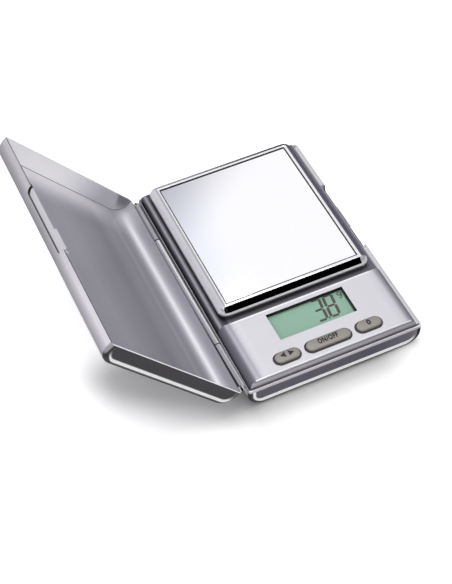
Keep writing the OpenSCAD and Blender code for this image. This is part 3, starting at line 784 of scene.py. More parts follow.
@dataclass(frozen=True)
class SparklePaint(Finish):
    """Silver paint with a fine sparkle, with painted shade deepening towards the sides of the
    housing.

    Attributes:
        middle: Middle of the housing across.
        half_width: Distance from the middle to the side.
        front: Place of the front face.
        deck_front: Front end of the deck under the pan.
        keys: Middle and length of each key across.
        key_y: Middle of the keys along the housing.
        key_width: Width of the keys.
        shade_shift: How far the painted shade round a key lies to its left and front.
        deck_z: Height between the deck and the panel.
        panel_z: Height of the panel.
        panel_back: Back edge of the panel.
    """

    middle: float = -0.4
    half_width: float = 35.6
    deck_front: float = -24.2
    front: float = -54.0
    keys: tuple[tuple[float, float], ...] = ((-17.9, 10.6), (-0.4, 19.0), (17.1, 10.6))
    key_y: float = -48.4
    key_width: float = 5.0
    shade_shift: float = 0.3
    deck_z: float = 12.4
    panel_z: float = 14.2
    panel_back: float = -24.4

    def painted_key_shade(self, spot: Spot) -> Socket:
        """Finds the painted shade round each key on the panel.

        Args:
            spot: Place on the surface.

        Returns:
            1 in the shade and 0 elsewhere.
        """
        share = spot.z * 0
        for middle, length in self.keys:
            flat = (length - self.key_width) / 2
            along = (abs(spot.x - middle + self.shade_shift) - flat).at_least(0.0)
            across = spot.y - self.key_y + self.shade_shift
            reach = along.span(across) - self.key_width / 2
            share = share.at_least(1 - reach.rise(0.42, 0.72))
        return share * (spot.z > self.panel_z - 0.15)

    def panel(self, spot: Spot, out: Socket) -> Socket:
        """Mixes the colour of the panel, with painted shade that deepens towards its sides.

        Args:
            spot: Place on the surface.
            out: Distance from the middle of the housing.

        Returns:
            The colour.
        """
        left = spot.graph.ramp(out, [
            (28.0, self.colour), (29.4, 206, 205, 211), (30.5, 190, 188, 196),
            (31.3, 160, 158, 168), (31.9, 162, 160, 170), (32.7, 174, 172, 182),
            (33.4, 140, 138, 149), (34.2, 116, 114, 126), (self.half_width, 118, 116, 128)])
        right = spot.graph.ramp(out, [
            (28.0, self.colour), (30.8, 208, 207, 213), (31.9, 184, 182, 191),
            (32.8, 172, 170, 180), (34.2, 154, 152, 163), (self.half_width, 156, 154, 165)])
        return spot.graph.mix(spot.x > 0, left, right)

    def deck(self, spot: Spot, out: Socket) -> Socket:
        """Mixes the colour of the deck under the pan, darkened by the pan's painted shadow.

        Args:
            spot: Place on the surface.
            out: Distance from the middle of the housing.

        Returns:
            The colour.
        """
        left = spot.graph.ramp(out, [
            (30.0, 44, 42, 48), (32.7, 50, 48, 55), (33.1, 78, 76, 84), (33.7, 124, 122, 131),
            (34.15, 160, 158, 167), (34.55, 138, 136, 145), (35.0, 92, 90, 99),
            (self.half_width, 62, 60, 68)])
        right = spot.graph.ramp(out, [
            (32.0, 86, 85, 96), (34.4, 98, 97, 108), (34.95, 208, 206, 213),
            (self.half_width, 222, 220, 226)])
        # Painted shadow of the pan over the middle of the deck.
        return spot.graph.mix(out.rise(30.2, 31.0), srgb(108, 106, 114),
                              spot.graph.mix(spot.x > 0, left, right))

    def look(self, graph: Graph) -> Look:
        """Mixes what changes over the surface.

        Args:
            graph: Nodes of the material.

        Returns:
            Its colour, roughness and the rest.
        """
        place = graph.position()
        spot = Spot(graph, *graph.axes(place))
        _, x, y, z = spot
        out = abs(x - self.middle)
        flakes = graph.noise(place, 9.0, 2.0, 0.7)
        cloud = graph.noise(place, 0.05, 1.0)
        on_deck = (z < self.deck_z) * (y > self.deck_front)
        colour = graph.mix(on_deck, self.panel(spot, out), self.deck(spot, out))
        # Front face of the panel: a painted highlight along its top edge above a painted dark
        # line, and painted light and shade in bands lower down.
        face = graph.ramp(z, [
            (9.0, 140, 136, 144), (10.8, 150, 147, 155), (11.3, 196, 194, 202),
            (13.0, 190, 188, 196), (13.2, 138, 136, 144), (13.65, 138, 136, 144),
            (13.85, 244, 244, 248), (14.2, 248, 248, 252)])
        colour = graph.mix((y - self.front).rise(0.5, 0.62), face, colour)
        # Painted light on the left part of the panel.
        bevel = (0 - x).rise(27.0, 31.0) * (z > self.deck_z) * (y < self.deck_front)
        colour = graph.scaled(colour, 1 + 0.16 * bevel)
        # Painted shade round the keys.
        colour = graph.mix(self.painted_key_shade(spot), colour, srgb(24, 21, 23))
        # Painted highlight along the back edge of the panel.
        back_edge_highlight = y.rise(self.panel_back - 1.2, self.panel_back - 0.9) * (z > self.deck_z + 0.2)
        back_edge_highlight = back_edge_highlight * (1 - out.rise(29.0, 31.5))
        colour = graph.mix(back_edge_highlight, colour, srgb(250, 249, 252))
        tone = 0.97 + 0.07 * (flakes - 0.5) + 0.05 * (cloud - 0.5)
        return Look(graph.scaled(colour, tone), self.roughness + 0.2 * (flakes - 0.5), flakes)


@dataclass(frozen=True)
class RolledBarrel(BrushedSteel):
    """Rolled barrel of the hinge, with a painted highlight and painted shade on its sides.

    Attributes:
        axis: Place of its axis across.
        radius: Radius of the barrel.
        joint: Place of the gap between two knuckles.
    """

    axis: float = -39.1
    radius: float = 1.45
    joint: float = 29.6

    def tone(self, spot: Spot) -> object:
        """Mixes the colour before the grain.

        Args:
            spot: Place on the surface.

        Returns:
            The colour.
        """
        graph, x, y, _ = spot
        # Painted highlight and painted shade across the barrel, the highlight moving right towards
        # its front; the back knuckles take the dimmer copy.
        turned = (x - self.axis) / self.radius - 0.013 * (0 - y - 4.0).at_least(0.0)
        lit = graph.ramp(turned, [
            (-1.1, 40, 38, 44), (-0.92, 70, 68, 75), (-0.75, 146, 144, 151),
            (-0.45, 166, 164, 170), (-0.12, 164, 162, 168), (0.1, 250, 250, 252),
            (0.42, 248, 248, 250), (0.62, 186, 184, 190), (0.85, 106, 104, 112),
            (1.02, 50, 48, 54), (1.4, 44, 42, 48)])
        dimmed_tone = graph.ramp(turned, [
            (-1.1, 40, 38, 44), (-0.95, 90, 88, 95), (-0.75, 148, 146, 153), (-0.1, 160, 158, 165),
            (0.3, 182, 180, 186), (0.5, 178, 176, 182), (0.72, 106, 104, 112), (0.92, 60, 58, 64),
            (1.4, 48, 46, 52)])
        colour = graph.mix(y.rise(self.joint - 0.3, self.joint), lit, dimmed_tone)
        gap = abs(abs(y) - self.joint).rise(0.2, 0.3)
        return graph.mix(gap, srgb(20, 18, 22), colour)


@dataclass(frozen=True)
class PinSteel(BrushedSteel):
    """Polished head of the hinge pin, its reflection painted as a hard dark band between two
    bright ones.

    Attributes:
        axis: Place of its axis across.
        radius: Radius of the head.
        level: Height at which the bands stand as written.
    """

    axis: float = -39.1
    radius: float = 1.4
    level: float = 10.0

    def tone(self, spot: Spot) -> object:
        """Mixes the colour before the grain.

        Args:
            spot: Place on the surface.

        Returns:
            The colour.
        """
        graph, x, _, z = spot
        # Painted reflection across the head.
        return graph.ramp((x - self.axis) / self.radius + 0.2 * (z - self.level), [
            (-1.1, 20, 18, 22), (-0.8, 36, 34, 40), (-0.62, 220, 220, 224), (-0.3, 255, 255, 255),
            (-0.16, 8, 6, 8), (0.36, 6, 5, 7), (0.5, 250, 250, 252), (0.82, 230, 230, 234),
            (0.95, 30, 28, 32), (1.1, 16, 14, 18)])


@dataclass(frozen=True)
class PanSteel(BrushedSteel):
    """Bright pan frame with painted reflection: a pale side, a black front over a bright lip, a
    bright rim.

    Attributes:
        middle: Middle of the pan across.
        centre: Middle of the pan along the housing.
        half_width: Half its width.
        half_length: Half its length.
        rim: How far in the rim starts.
        lip_z: Height at which the pale part of the front ends.
    """

    middle: float = -0.35
    centre: float = 16.3
    half_width: float = 32.9
    half_length: float = 37.55
    rim: float = 3.03
    lip_z: float = 15.15

    def shares(self, spot: Spot) -> tuple[Socket, ...]:
        """Finds the parts of the frame.

        Args:
            spot: Place on the surface.

        Returns:
            How far it is on the left side, the front, the corner of painted highlight and the rim.
        """
        _, x, y, _ = spot
        across, along = x - self.middle, y - self.centre
        left, right = across + self.half_width, self.half_width - across
        front, back = along + self.half_length, self.half_length - along
        on_left = (front - left).rise(-0.08, 0.08) * (back - left).rise(-0.08, 0.08)
        on_front = (left - front).rise(-0.08, 0.08) * (right - front).rise(-0.08, 0.08)
        corner = (front < 3.3) * (right < 3.8).at_least(left < 2.2)
        inset = 0 - (abs(across) - self.half_width).at_least(abs(along) - self.half_length)
        rim = (inset - 0.2 * on_left + 0.3 * on_front).rise(self.rim, self.rim + 0.1)
        return on_left, on_front, corner, rim

    def tone(self, spot: Spot) -> object:
        """Mixes the colour before the grain.

        Args:
            spot: Place on the surface.

        Returns:
            The colour.
        """
        graph, x, y, z = spot
        on_left, on_front, corner, rim = self.shares(spot)
        # Painted reflection on the left side: pale, with darker lines at its edges.
        side = graph.ramp(x - self.middle + self.half_width, [
            (0.0, 140, 138, 144), (0.2, 226, 225, 230), (0.5, 244, 243, 247), (0.9, 228, 226, 232),
            (2.2, 226, 224, 230), (2.6, 214, 212, 218), (2.85, 178, 176, 184),
            (4.0, 160, 158, 167)])
        # Painted reflection on the front: black above a bright lip, grey at the foot.
        front = graph.ramp(z, [
            (13.4, 84, 82, 88), (13.8, 110, 108, 114), (14.3, 140, 138, 144),
            (14.45, 255, 255, 255), (15.1, 255, 255, 255), (15.2, 28, 26, 28), (16.9, 26, 24, 26)])
        # Painted reflection on the back: paler to the left, darker to the right.
        behind = (y - self.centre - self.half_length).rise(-3.2, -3.0)
        deep = graph.mix(x.rise(-24.0, 26.0), srgb(172, 171, 181), srgb(104, 103, 120))
        colour = graph.mix(behind, self.colour, deep)
        colour = graph.mix(on_left, colour, side)
        colour = graph.mix(on_front, colour, front)
        # Painted highlight round the front corners.
        rounded = graph.ramp(z, [
            (13.4, 120, 118, 126), (14.0, 150, 148, 156), (14.5, 250, 250, 252),
            (15.3, 246, 246, 248), (15.8, 190, 188, 196), (16.9, 200, 198, 206)])
        colour = graph.mix(corner, colour, rounded)
        # Painted highlight on the rim.
        return graph.mix(rim, colour, srgb(250, 250, 252))

    def shine(self, spot: Spot) -> object:
        """Returns how metallic the surface is: least on its pale parts."""
        on_left, on_front, corner, rim = self.shares(spot)
        pale = on_left.at_least(on_front * (spot.z < self.lip_z)).at_least(corner)
        return self.metallic * (1 - 0.92 * pale) * (1 - 0.8 * rim)


@dataclass(frozen=True)
class DisplayGreen(Finish):
    """Green glass of the display, shaded along the back and right edge of its opening.

    Attributes:
        back: Back edge of the opening.
        right: Right edge of the opening.
    """

    back: float = -27.1
    right: float = 16.2

    def look(self, graph: Graph) -> Look:
        """Mixes what changes over the surface.

        Args:
            graph: Nodes of the material.

        Returns:
            Its colour, roughness and the rest.
        """
        plain = super().look(graph)
        x, y, _ = graph.axes(graph.position())
        shade = y.rise(self.back - 0.1, self.back).at_least(
            x.rise(self.right - 0.7, self.right - 0.3))
        colour = graph.mix(shade, plain.colour, srgb(28, 34, 30))
        return Look(colour, plain.roughness, plain.relief)


@dataclass(frozen=True)
class MirrorFinish(Finish):
    """Mirror-bright plate, greyed by painted reflection towards its far left corner.

    Attributes:
        left: Left edge of the plate.
        back: Back edge of the plate.
    """

    left: float = -28.8
    back: float = 49.6

    def look(self, graph: Graph) -> Look:
        """Mixes what changes over the surface.

        Args:
            graph: Nodes of the material.

        Returns:
            Its colour, roughness and the rest.
        """
        place = graph.position()
        x, y, _ = graph.axes(place)
        across, along = x - self.left, self.back - y
        # Painted reflection: the plate greys and turns bluish towards its far left corner.
        far = (0.6 * across + 0.75 * along).rise(-4.0, 30.0)
        side = (across + 0.25 * along).rise(0.0, 26.0)
        wipe = graph.noise(graph.vector(x * 0.5, y * 0.02, 0.0), 1.0, 2.0)
        colour = graph.mix(side, srgb(232, 237, 248), self.colour)
        colour = graph.mix(far, srgb(190, 190, 198), colour)
        return Look(graph.scaled(colour, 0.99 + 0.02 * wipe), self.roughness + 0.03 * wipe)


@dataclass(frozen=True)
class WireRibbon(Finish):
    """Flat ribbon of coloured wires side by side.

    Attributes:
        start: Place across where the first wire starts.
        pitch: Distance between two wires.
    """

    start: float = -8.9
    pitch: float = 1.0

    def look(self, graph: Graph) -> Look:
        """Mixes what changes over the surface.

        Args:
            graph: Nodes of the material.

        Returns:
            Its colour, roughness and the rest.
        """
        x, _, _ = graph.axes(graph.position())
        share = (x - self.start) / self.pitch
        colour = graph.ramp(share, [
            (0.0, self.colour), (0.95, self.colour), (1.05, 28, 28, 30), (1.95, 28, 28, 30),
            (2.05, 222, 220, 214), (2.95, 222, 220, 214), (3.05, 38, 110, 62), (4.0, 38, 110, 62)])
        # Each wire darker towards its edges, as painted shade on its round insulation.
        ridge = graph.maths(Maths.SINE, graph.maths(Maths.FRACTION, share) * math.pi)
        return Look(graph.scaled(colour, 0.6 + 0.4 * ridge), self.roughness, ridge)


@dataclass(frozen=True)
class SolderMask(Finish):
    """Green board with copper tracks under its mask."""

    def look(self, graph: Graph) -> Look:
        """Mixes what changes over the surface.

        Args:
            graph: Nodes of the material.

        Returns:
            Its colour, roughness and the rest.
        """
        place = graph.position()
        x, y, _ = graph.axes(place)
        wander = graph.noise(place, 0.25, 1.0)
        tracks = abs(graph.maths(Maths.SINE, (x + 9 * wander) * 2.6)).rise(0.86, 0.93)
        cross = abs(graph.maths(Maths.SINE, (y - 6 * wander) * 1.9)).rise(0.93, 0.97)
        copper = tracks.at_least(cross)
        return Look(graph.mix(copper * 0.55, self.colour, srgb(86, 148, 92)),
                    self.roughness, copper)


@dataclass(frozen=True)
class ClearFinish(Finish):
    """Clear moulding that lets what lies under it show.

    Attributes:
        cover: How much of it is seen.
    """

    cover: float = 0.12

    def constants(self) -> dict[str, object]:
        """Returns the settings that are the same all over."""
        return super().constants() | {"Alpha": self.cover, "Specular IOR Level": 0.1}

    def look(self, graph: Graph) -> Look:
        """Returns what changes over the surface."""
        wipe = graph.noise(graph.position(), 0.6, 2.0)
        return Look(graph.scaled(self.colour, 0.97 + 0.06 * wipe), self.roughness + 0.04 * wipe)


@dataclass(frozen=True)
class PressedTray:
    """Sizes of a pressed tray that its finishes need.

    Attributes:
        length: Along the hinge.
        width: Across.
        depth: From its floor to its rim.
        bend_r: Outer radius of the long bends.
        end_r: Outer radius of the edge round each end.
        sheet: Thickness of the sheet.
        notch_reach: Farthest place of the thumb notch along the tray.
        near: How close to a face of the tray still counts as on it.
        place: Where it lies.
    """

    length: float = 110.0
    width: float = 74.6
    depth: float = 10.0
    bend_r: float = 6.5
    end_r: float = 1.3
    sheet: float = 0.6
    notch_reach: float = 40.0
    near: float = 0.05
    place: TrayPlace = TrayPlace()

    def region(self, centre: Vector, normal: Vector) -> Region:
        """Says which finish a face of the tray takes.

        Args:
            centre: Its middle, in millimetres.
            normal: Where it faces.

        Returns:
            The region that it belongs to.
        """
        spot, facing = self.place.local(centre), self.place.turned(normal)
        on_wall = abs(spot.x) > self.width / 2 - self.sheet - self.near
        below_rim = abs(spot.y) < self.notch_reach and spot.z < self.depth - self.near
        if on_wall and below_rim and abs(facing.x) < 0.2:
            return Region.NOTCH_EDGE
        if spot.z > self.depth - 0.4 * self.near and facing.z > 0.9:
            return Region.RIM
        outward = facing.dot(spot - Vector((0.0, 0.0, self.depth / 2))) > 0
        past_bend = abs(spot.y) > self.length / 2 - self.end_r - 0.2 * self.near
        if outward and past_bend and abs(facing.y) > 0.02:
            return Region.END
        return Region.OUTSIDE if outward else Region.INSIDE


class Workshop:
    """Makes meshes, dresses them and puts them on their bodies."""

    def __init__(self, nodes: Mapping[str, Piece]) -> None:
        """Keeps the frame's nodes."""
        self.nodes = nodes

    def from_bmesh(self, name: str, mesh: bmesh.types.BMesh, finishes: Sequence[Finish]) -> Piece:
        """Makes an object of a mesh, with smooth faces and its finishes.

        Args:
            name: Name of the object.
            mesh: The mesh, which is freed.
            finishes: One finish for each material index.

        Returns:
            The object, linked to the scene.
        """
        for face in mesh.faces:
            face.smooth = True
        data = bpy.data.meshes.new(name)
        mesh.to_mesh(data)
        mesh.free()
        for finish in finishes:
            data.materials.append(finish.material())
        return linked(name, data)

    def add_solid(self, mesh: bmesh.types.BMesh, rings: Sequence[Sequence[Point]]) -> None:
        """Adds a closed solid through rings of points to a mesh.

        Args:
            mesh: The mesh.
            rings: Rings with as many points each, in millimetres.
        """
        rows = [[mesh.verts.new(Vector(p) * MM) for p in ring] for ring in rings]
        for low, high in zip(rows, rows[1:]):
            for i, vertex in enumerate(low):
                j = (i + 1) % len(low)
                mesh.faces.new((vertex, low[j], high[j], high[i]))
        mesh.faces.new(list(reversed(rows[0])))
        mesh.faces.new(rows[-1])
        bmesh.ops.recalc_face_normals(mesh, faces=mesh.faces)

    def loft(self, name: str, rings: Sequence[Sequence[Point]],
             finishes: Sequence[Finish]) -> Piece:
        """Makes a closed solid through rings of points, as an object of its own."""
        mesh = bmesh.new()
        self.add_solid(mesh, rings)
        return self.from_bmesh(name, mesh, finishes)

    def plates(self, name: str, outlines: Sequence[Outline], low: float, high: float,
               finishes: Sequence[Finish]) -> Piece:
        """Makes flat plates of outlines between two heights.

        Args:
            name: Name of the object.
            outlines: Outlines in millimetres.
            low: Height of their underside.
            high: Height of their top.
            finishes: Finishes of the plates.

        Returns:
            The object.
        """
        mesh = bmesh.new()
        for outline in outlines:
            self.add_solid(mesh, [[(x, y, z) for x, y in outline] for z in (low, high)])
        made = self.from_bmesh(name, mesh, finishes)
        made.data.polygons.foreach_set("use_smooth", [False] * len(made.data.polygons))
        return made

    def refined(self, node: str, name: str, finishes: Sequence[Finish],
                region: Callable[[Vector, Vector], int] | None = None,
                edge: float = 0.1) -> Piece:
        """Makes a copy of a node with soft edges and several finishes.

        Args:
            node: Name of the node.
            name: Name of the piece.
            finishes: Finishes of the piece.
            region: Picks a face's finish from its middle and where it faces.
            edge: Width of the softened edges, in millimetres.

        Returns:
            The piece.
        """
        source = self.nodes[node].data
        mesh = bmesh.new()
        points = [mesh.verts.new(v.co) for v in source.vertices]
        for polygon in source.polygons:
            mesh.faces.new([points[i] for i in polygon.vertices])
        bmesh.ops.remove_doubles(mesh, verts=mesh.verts, dist=SAME_POINT * MM)
        bmesh.ops.dissolve_limit(mesh, angle_limit=math.radians(FLAT_DEG),
                                 verts=mesh.verts, edges=mesh.edges)
        mesh.normal_update()
        if region:
            for face in mesh.faces:
                face.material_index = region(face.calc_center_median() / MM, face.normal)
        made = self.from_bmesh(name, mesh, finishes)
        self.soften(made, edge)
        return made

    def soften(self, piece: Piece, edge: float) -> None:
        """Rounds a piece's sharp edges and evens its shading.

        Args:
            piece: The piece.
            edge: Width of its softened edges, in millimetres.
        """
        bevel = piece.modifiers.new("edges", "BEVEL")
        bevel.width = edge * MM
        bevel.segments = 2
        bevel.limit_method = "ANGLE"
        bevel.angle_limit = math.radians(SHARP_DEG)
        bevel.use_clamp_overlap = True
        piece.modifiers.new("shading", "WEIGHTED_NORMAL")

    def place(self, piece: Piece, body: Body, slot: str, *replaced: str) -> None:
        """Puts a piece on its body, and hides the nodes it stands for.

        Args:
            piece: The piece.
            body: The body that it rides on.
            slot: Not used.
            replaced: Nodes of the frame that it stands for.
        """
        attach(piece, body.value)
        if replaced:
            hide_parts(*replaced)
        LOG.info("%s rides on %s, %d faces", piece.name, body.value, len(piece.data.polygons))

    def dress(self, finish: Finish, *nodes: str) -> None:
        """Gives nodes of the frame a finish.

        Args:
            finish: The finish.
            nodes: Names of the nodes.
        """
        for node in nodes:
            data = self.nodes[node].data
            data.materials.clear()
            data.materials.append(finish.material())
            LOG.info("%s is finished in %s", node, finish.name)


@dataclass(frozen=True)
class Repeat:
    """A Geometry Nodes tree with named sizes, turned into a plain mesh.

    Attributes:
        name: Name of the tree and of the piece.
        finish: Finish of the result.
        sizes: Named inputs with their values: whole numbers or millimetres.
    """

    name: str
    finish: Finish
    sizes: Mapping[str, float | int]

    def geometry(self, graph: Graph, sizes: Mapping[str, Socket]) -> Socket:
        """Returns the shape, made of named inputs."""
        raise NotImplementedError

    def build(self) -> Piece:
        """Makes the tree and runs it.

        Returns:
            Its result as a plain mesh object.
        """
        tree = bpy.data.node_groups.new(self.name, "GeometryNodeTree")
        new_socket = tree.interface.new_socket
        new_socket(name="Geometry", in_out="OUTPUT", socket_type="NodeSocketGeometry")
        sockets = {name: new_socket(name=name, in_out="INPUT", socket_type=(
            "NodeSocketInt" if isinstance(value, int) else "NodeSocketFloat"))
            for name, value in self.sizes.items()}
        graph = Graph(tree)
        start = graph.node("NodeGroupInput")
        shape = self.geometry(graph, {name: graph.out(start, name) for name in self.sizes})
        solid = graph.value("GeometryNodeRealizeInstances", None, {0: shape})
        painted = graph.value("GeometryNodeSetMaterial", None, {
            "Geometry": solid, "Material": self.finish.material()})
        graph.node("NodeGroupOutput", None, {
            0: graph.value("GeometryNodeSetShadeSmooth", None, {0: painted})})
        carrier = linked(self.name + "_carrier", bpy.data.meshes.new(self.name))
        modifier = carrier.modifiers.new(self.name, "NODES")
        modifier.node_group = tree
        for name, value in self.sizes.items():
            modifier[sockets[name].identifier] = value if isinstance(value, int) else value * MM
        carrier.update_tag()
        return linked(self.name, plain_mesh(carrier))


@dataclass(frozen=True)
class RibRing(Repeat):
    """Grip ribs round a disc. Sizes: Count, Radius, Width, Length, Height.

    A rib is as wide as its Width towards the middle, as thick as its Length and as long
    round the disc as its Height.
    """

    def geometry(self, graph: Graph, sizes: Mapping[str, Socket]) -> Socket:
        """Makes a box at each point of a circle.

        Args:
            graph: Nodes of the tree.
            sizes: Its named inputs.

        Returns:
            The boxes.
        """
        ring = graph.value("GeometryNodeCurvePrimitiveCircle", None, {
            "Resolution": sizes["Count"], "Radius": sizes["Radius"]})
        points = graph.node("GeometryNodeCurveToPoints", {"mode": "EVALUATED"}, {"Curve": ring})
        rib = graph.value("GeometryNodeMeshCube", None, {
            "Size": graph.vector(sizes["Width"], sizes["Length"], sizes["Height"])})
        return graph.value("GeometryNodeInstanceOnPoints", None, {
            "Points": graph.out(points, "Points"), "Instance": rib,
            "Rotation": graph.out(points, "Rotation")})


@dataclass(frozen=True)
class WeldDimple(Repeat):
    """Flat dimple of a spot weld. Sizes: Radius, Height."""

    def geometry(self, graph: Graph, sizes: Mapping[str, Socket]) -> Socket:
        """Flattens a ball.

        Args:
            graph: Nodes of the tree.
            sizes: Its named inputs.

        Returns:
            The ball.
        """
        ball = graph.value("GeometryNodeMeshUVSphere", None, {
            "Segments": 20, "Rings": 10, "Radius": sizes["Radius"]})
        return graph.value("GeometryNodeTransform", None, {
            "Geometry": ball,
            "Scale": graph.vector(1.0, 1.0, sizes["Height"] / sizes["Radius"])})


@dataclass(frozen=True)
class FrameBead(Repeat):
    """Bead swept round a rectangle. Sizes: Width, Length, Corner, Radius."""

    def geometry(self, graph: Graph, sizes: Mapping[str, Socket]) -> Socket:
        """Sweeps a circle round a rectangle with rounded corners.

        Args:
            graph: Nodes of the tree.
            sizes: Its named inputs.

        Returns:
            The bead.
        """
        sides = graph.value("GeometryNodeCurvePrimitiveQuadrilateral", None, {
            "Width": sizes["Width"], "Height": sizes["Length"]})
        corners = graph.value("GeometryNodeFilletCurve", {"mode": "POLY"}, {
            "Curve": sides, "Radius": sizes["Corner"], "Count": 6})
        section = graph.value("GeometryNodeCurvePrimitiveCircle", None, {
            "Resolution": 12, "Radius": sizes["Radius"]})
        return graph.value("GeometryNodeCurveToMesh", None, {
            "Curve": corners, "Profile Curve": section})


@dataclass(frozen=True)
class PadGrid(Repeat):
    """Grid of solder pads. Sizes: Columns, Rows, Width, Length, Radius, Height."""

    def geometry(self, graph: Graph, sizes: Mapping[str, Socket]) -> Socket:
        """Makes a round pad at each point of a grid.

        Args:
            graph: Nodes of the tree.
            sizes: Its named inputs.

        Returns:
            The pads.
        """
        grid = graph.value("GeometryNodeMeshGrid", None, {
            "Size X": sizes["Width"], "Size Y": sizes["Length"],
            "Vertices X": sizes["Columns"], "Vertices Y": sizes["Rows"]}, "Mesh")
        pad = graph.value("GeometryNodeMeshCone", None, {
            "Vertices": 12, "Radius Bottom": sizes["Radius"], "Radius Top": sizes["Radius"],
            "Depth": sizes["Height"]})
        return graph.value("GeometryNodeInstanceOnPoints", None, {
            "Points": grid, "Instance": pad})


@dataclass(frozen=True)
class TrayColours:
    """Colours of a tray's outer regions, most of them painted light and shade.

    Attributes:
        low: Painted shade of the floor and bends.
        panel: Panel at its ends, dark as painted reflection.
        far: That panel at the right, paler as painted light.
        rim: Rim of its long walls, darker on the cover as painted shade.
    """

    low: Colour
    panel: Colour
    far: Colour
    rim: Colour


@dataclass
class SteelCase:
    """Base and cover of the case.

    Attributes:
        base: Sizes of the base.
        cover: Sizes of the cover.
        weld: Place of the weld dimple on the inside of the cover, across and along.
    """

    base: PressedTray
    cover: PressedTray
    weld: tuple[float, float] = (20.9, 4.9)

    def finishes(self, tray: PressedTray, name: str, colours: TrayColours, inside: Finish,
                 ends: Mapping[str, float], bright: float) -> list[Finish]:
        """Lists the finishes of a tray.

        Args:
            tray: The tray.
            name: Start of the names.
            colours: Colours of its outer regions.
            inside: Finish of its inside.
            ends: Sizes of the lines on its ends.
            bright: How strongly the ends of its rim glow as painted light.

        Returns:
            One finish for each Region, in order.
        """
        place = tray.place
        return [
            TrayOuter(name + "_outside", srgb(208, 204, 211), 0.36, 0.3, depth=tray.depth,
                      low=colours.low, grain=(0.3, 6.0, 0.3), place=place),
            inside,
            TrayEnd(name + "_end", colours.panel, 0.32, 0.4, depth=tray.depth,
                    far=colours.far, **ends, grain=(0.08, 0.08, 2.5), streaks=0.04,
                    relief=0.0002, place=place),
            TrayRim(name + "_rim", colours.rim, 0.35, 0.1, bright=bright, streaks=0.03,
                    relief=0.0002, place=place),
            # The cut edge of the notch is near black as painted shade.
            BrushedSteel(name + "_notch_edge", srgb(48, 45, 50), 0.4, 0.2, place=place),
        ]

    def build(self, shop: Workshop) -> None:
        """Makes both trays and the weld dimple.

        Args:
            shop: Makes and places the pieces.
        """
        # Painted light: the base's inside is near white, paler than its steel, to lighten walls
        # that lie deep in shade.
        plain = BrushedSteel("base_inside", srgb(246, 245, 249), 0.45, 0.0)
        # The base's painted shade low down and painted reflection on its end panels.
        colours = TrayColours(low=srgb(120, 117, 130), panel=srgb(98, 95, 109),
                              far=srgb(138, 136, 148), rim=srgb(226, 224, 229))
        finishes = self.finishes(self.base, "base", colours, plain,
                                 {"lip": 1.2, "shadow": 1.55, "bead": 3.5}, 0.05)
        base = shop.refined("base_case", "steel_base", finishes, self.base.region)
        shop.place(base, Body.BASE, "case_steel", "base_case")
        lit = TrayInner("cover_inside", srgb(156, 154, 165), 0.42, 0.25, place=self.cover.place)
        # The cover's painted shade low down, dark painted reflection on its end panels and painted
        # shade on its rim.
        colours = TrayColours(low=srgb(146, 143, 153), panel=srgb(58, 55, 62),
                              far=srgb(60, 57, 64), rim=srgb(84, 81, 90))
        finishes = self.finishes(self.cover, "cover", colours, lit, {
            "shadow": 1.45, "bead": 2.8, "free_shadow": 0.6, "hinge_shadow": -0.2,
            "hinge_bead": 0.0, "hinge_fade": 0.9, "free_side": 0.8}, 0.35)
        cover = shop.refined("cover_case", "steel_cover", finishes, self.cover.region)
        shop.place(cover, Body.COVER, "case_steel", "cover_case")
        place = self.cover.place
        bright = BrushedSteel("weld_bright", srgb(240, 239, 243), 0.3, 0.1, place=place)
        dimple = WeldDimple("cover_weld_dimple", bright, {"Radius": 0.7, "Height": 0.25}).build()
        turn = Matrix((place.across, (0, 1, 0), place.up)).transposed().to_4x4()
        moved(dimple, turn @ at(self.weld[0], 0.0, self.cover.sheet))
        moved(dimple, at(place.origin[0], self.weld[1], place.origin[2]))
        shop.place(dimple, Body.COVER, "case_steel")


@dataclass
class BarrelHinge:
    """Hinge along the left side of the case.

    Attributes:
        leaf: Finish of the two leaves.
        pin: Finish of the pin.
    """

    leaf: Finish = RolledBarrel("hinge_steel", srgb(196, 194, 200), 0.4, 0.1,
                                grain=(6.0, 0.04, 6.0), streaks=0.1)
    pin: Finish = PinSteel("pin_steel", srgb(232, 232, 236), 0.15, 0.2,
                           grain=(2.0, 2.0, 2.0), streaks=0.03, relief=0.0002)

    def build(self, shop: Workshop) -> None:
        """Makes the leaves and the pin.

        Args:
            shop: Makes and places the pieces.
        """
        for node, name, body in (
                ("hinge_leaf_base", "hinge_knuckles_outer", Body.BASE),
                ("hinge_leaf_cover", "hinge_knuckle_middle", Body.COVER)):
            shop.place(shop.refined(node, name, [self.leaf]), body, "hinge_steel", node)
        piece = shop.refined("hinge_pin", "hinge_pin_heads", [self.pin], edge=0.08)
        shop.place(piece, Body.BASE, "pin_steel", "hinge_pin")


@dataclass
class ThumbCatch:
    """Catch in the thumb notches of the free side.

    Attributes:
        cover: Where the cover lies.
        steel: Finish of the tab and its arm.
    """

    cover: TrayPlace
    steel: Finish = BrushedSteel("catch_steel", srgb(218, 217, 222), 0.35, 0.1,
                                 grain=(0.4, 5.0, 0.4), streaks=0.05)

    def build(self, shop: Workshop) -> None:
        """Makes the tab, its spring arm and the strike plate.

        Args:
            shop: Makes and places the pieces.
        """
        strike = StrikeSteel("strike_steel", srgb(218, 216, 222), 0.35, 0.1,
                             grain=(0.3, 5.0, 0.3), streaks=0.1, place=self.cover)
        for node, name, body, steel in (
                ("catch_tab", "catch_thumb_tab", Body.CATCH, self.steel),
                ("catch_spring", "catch_spring_arm", Body.BASE, self.steel),
                ("catch_strike", "catch_strike_plate", Body.COVER, strike)):
            piece = shop.refined(node, name, [steel], edge=0.08)
            shop.place(piece, body, "spring_steel", node)


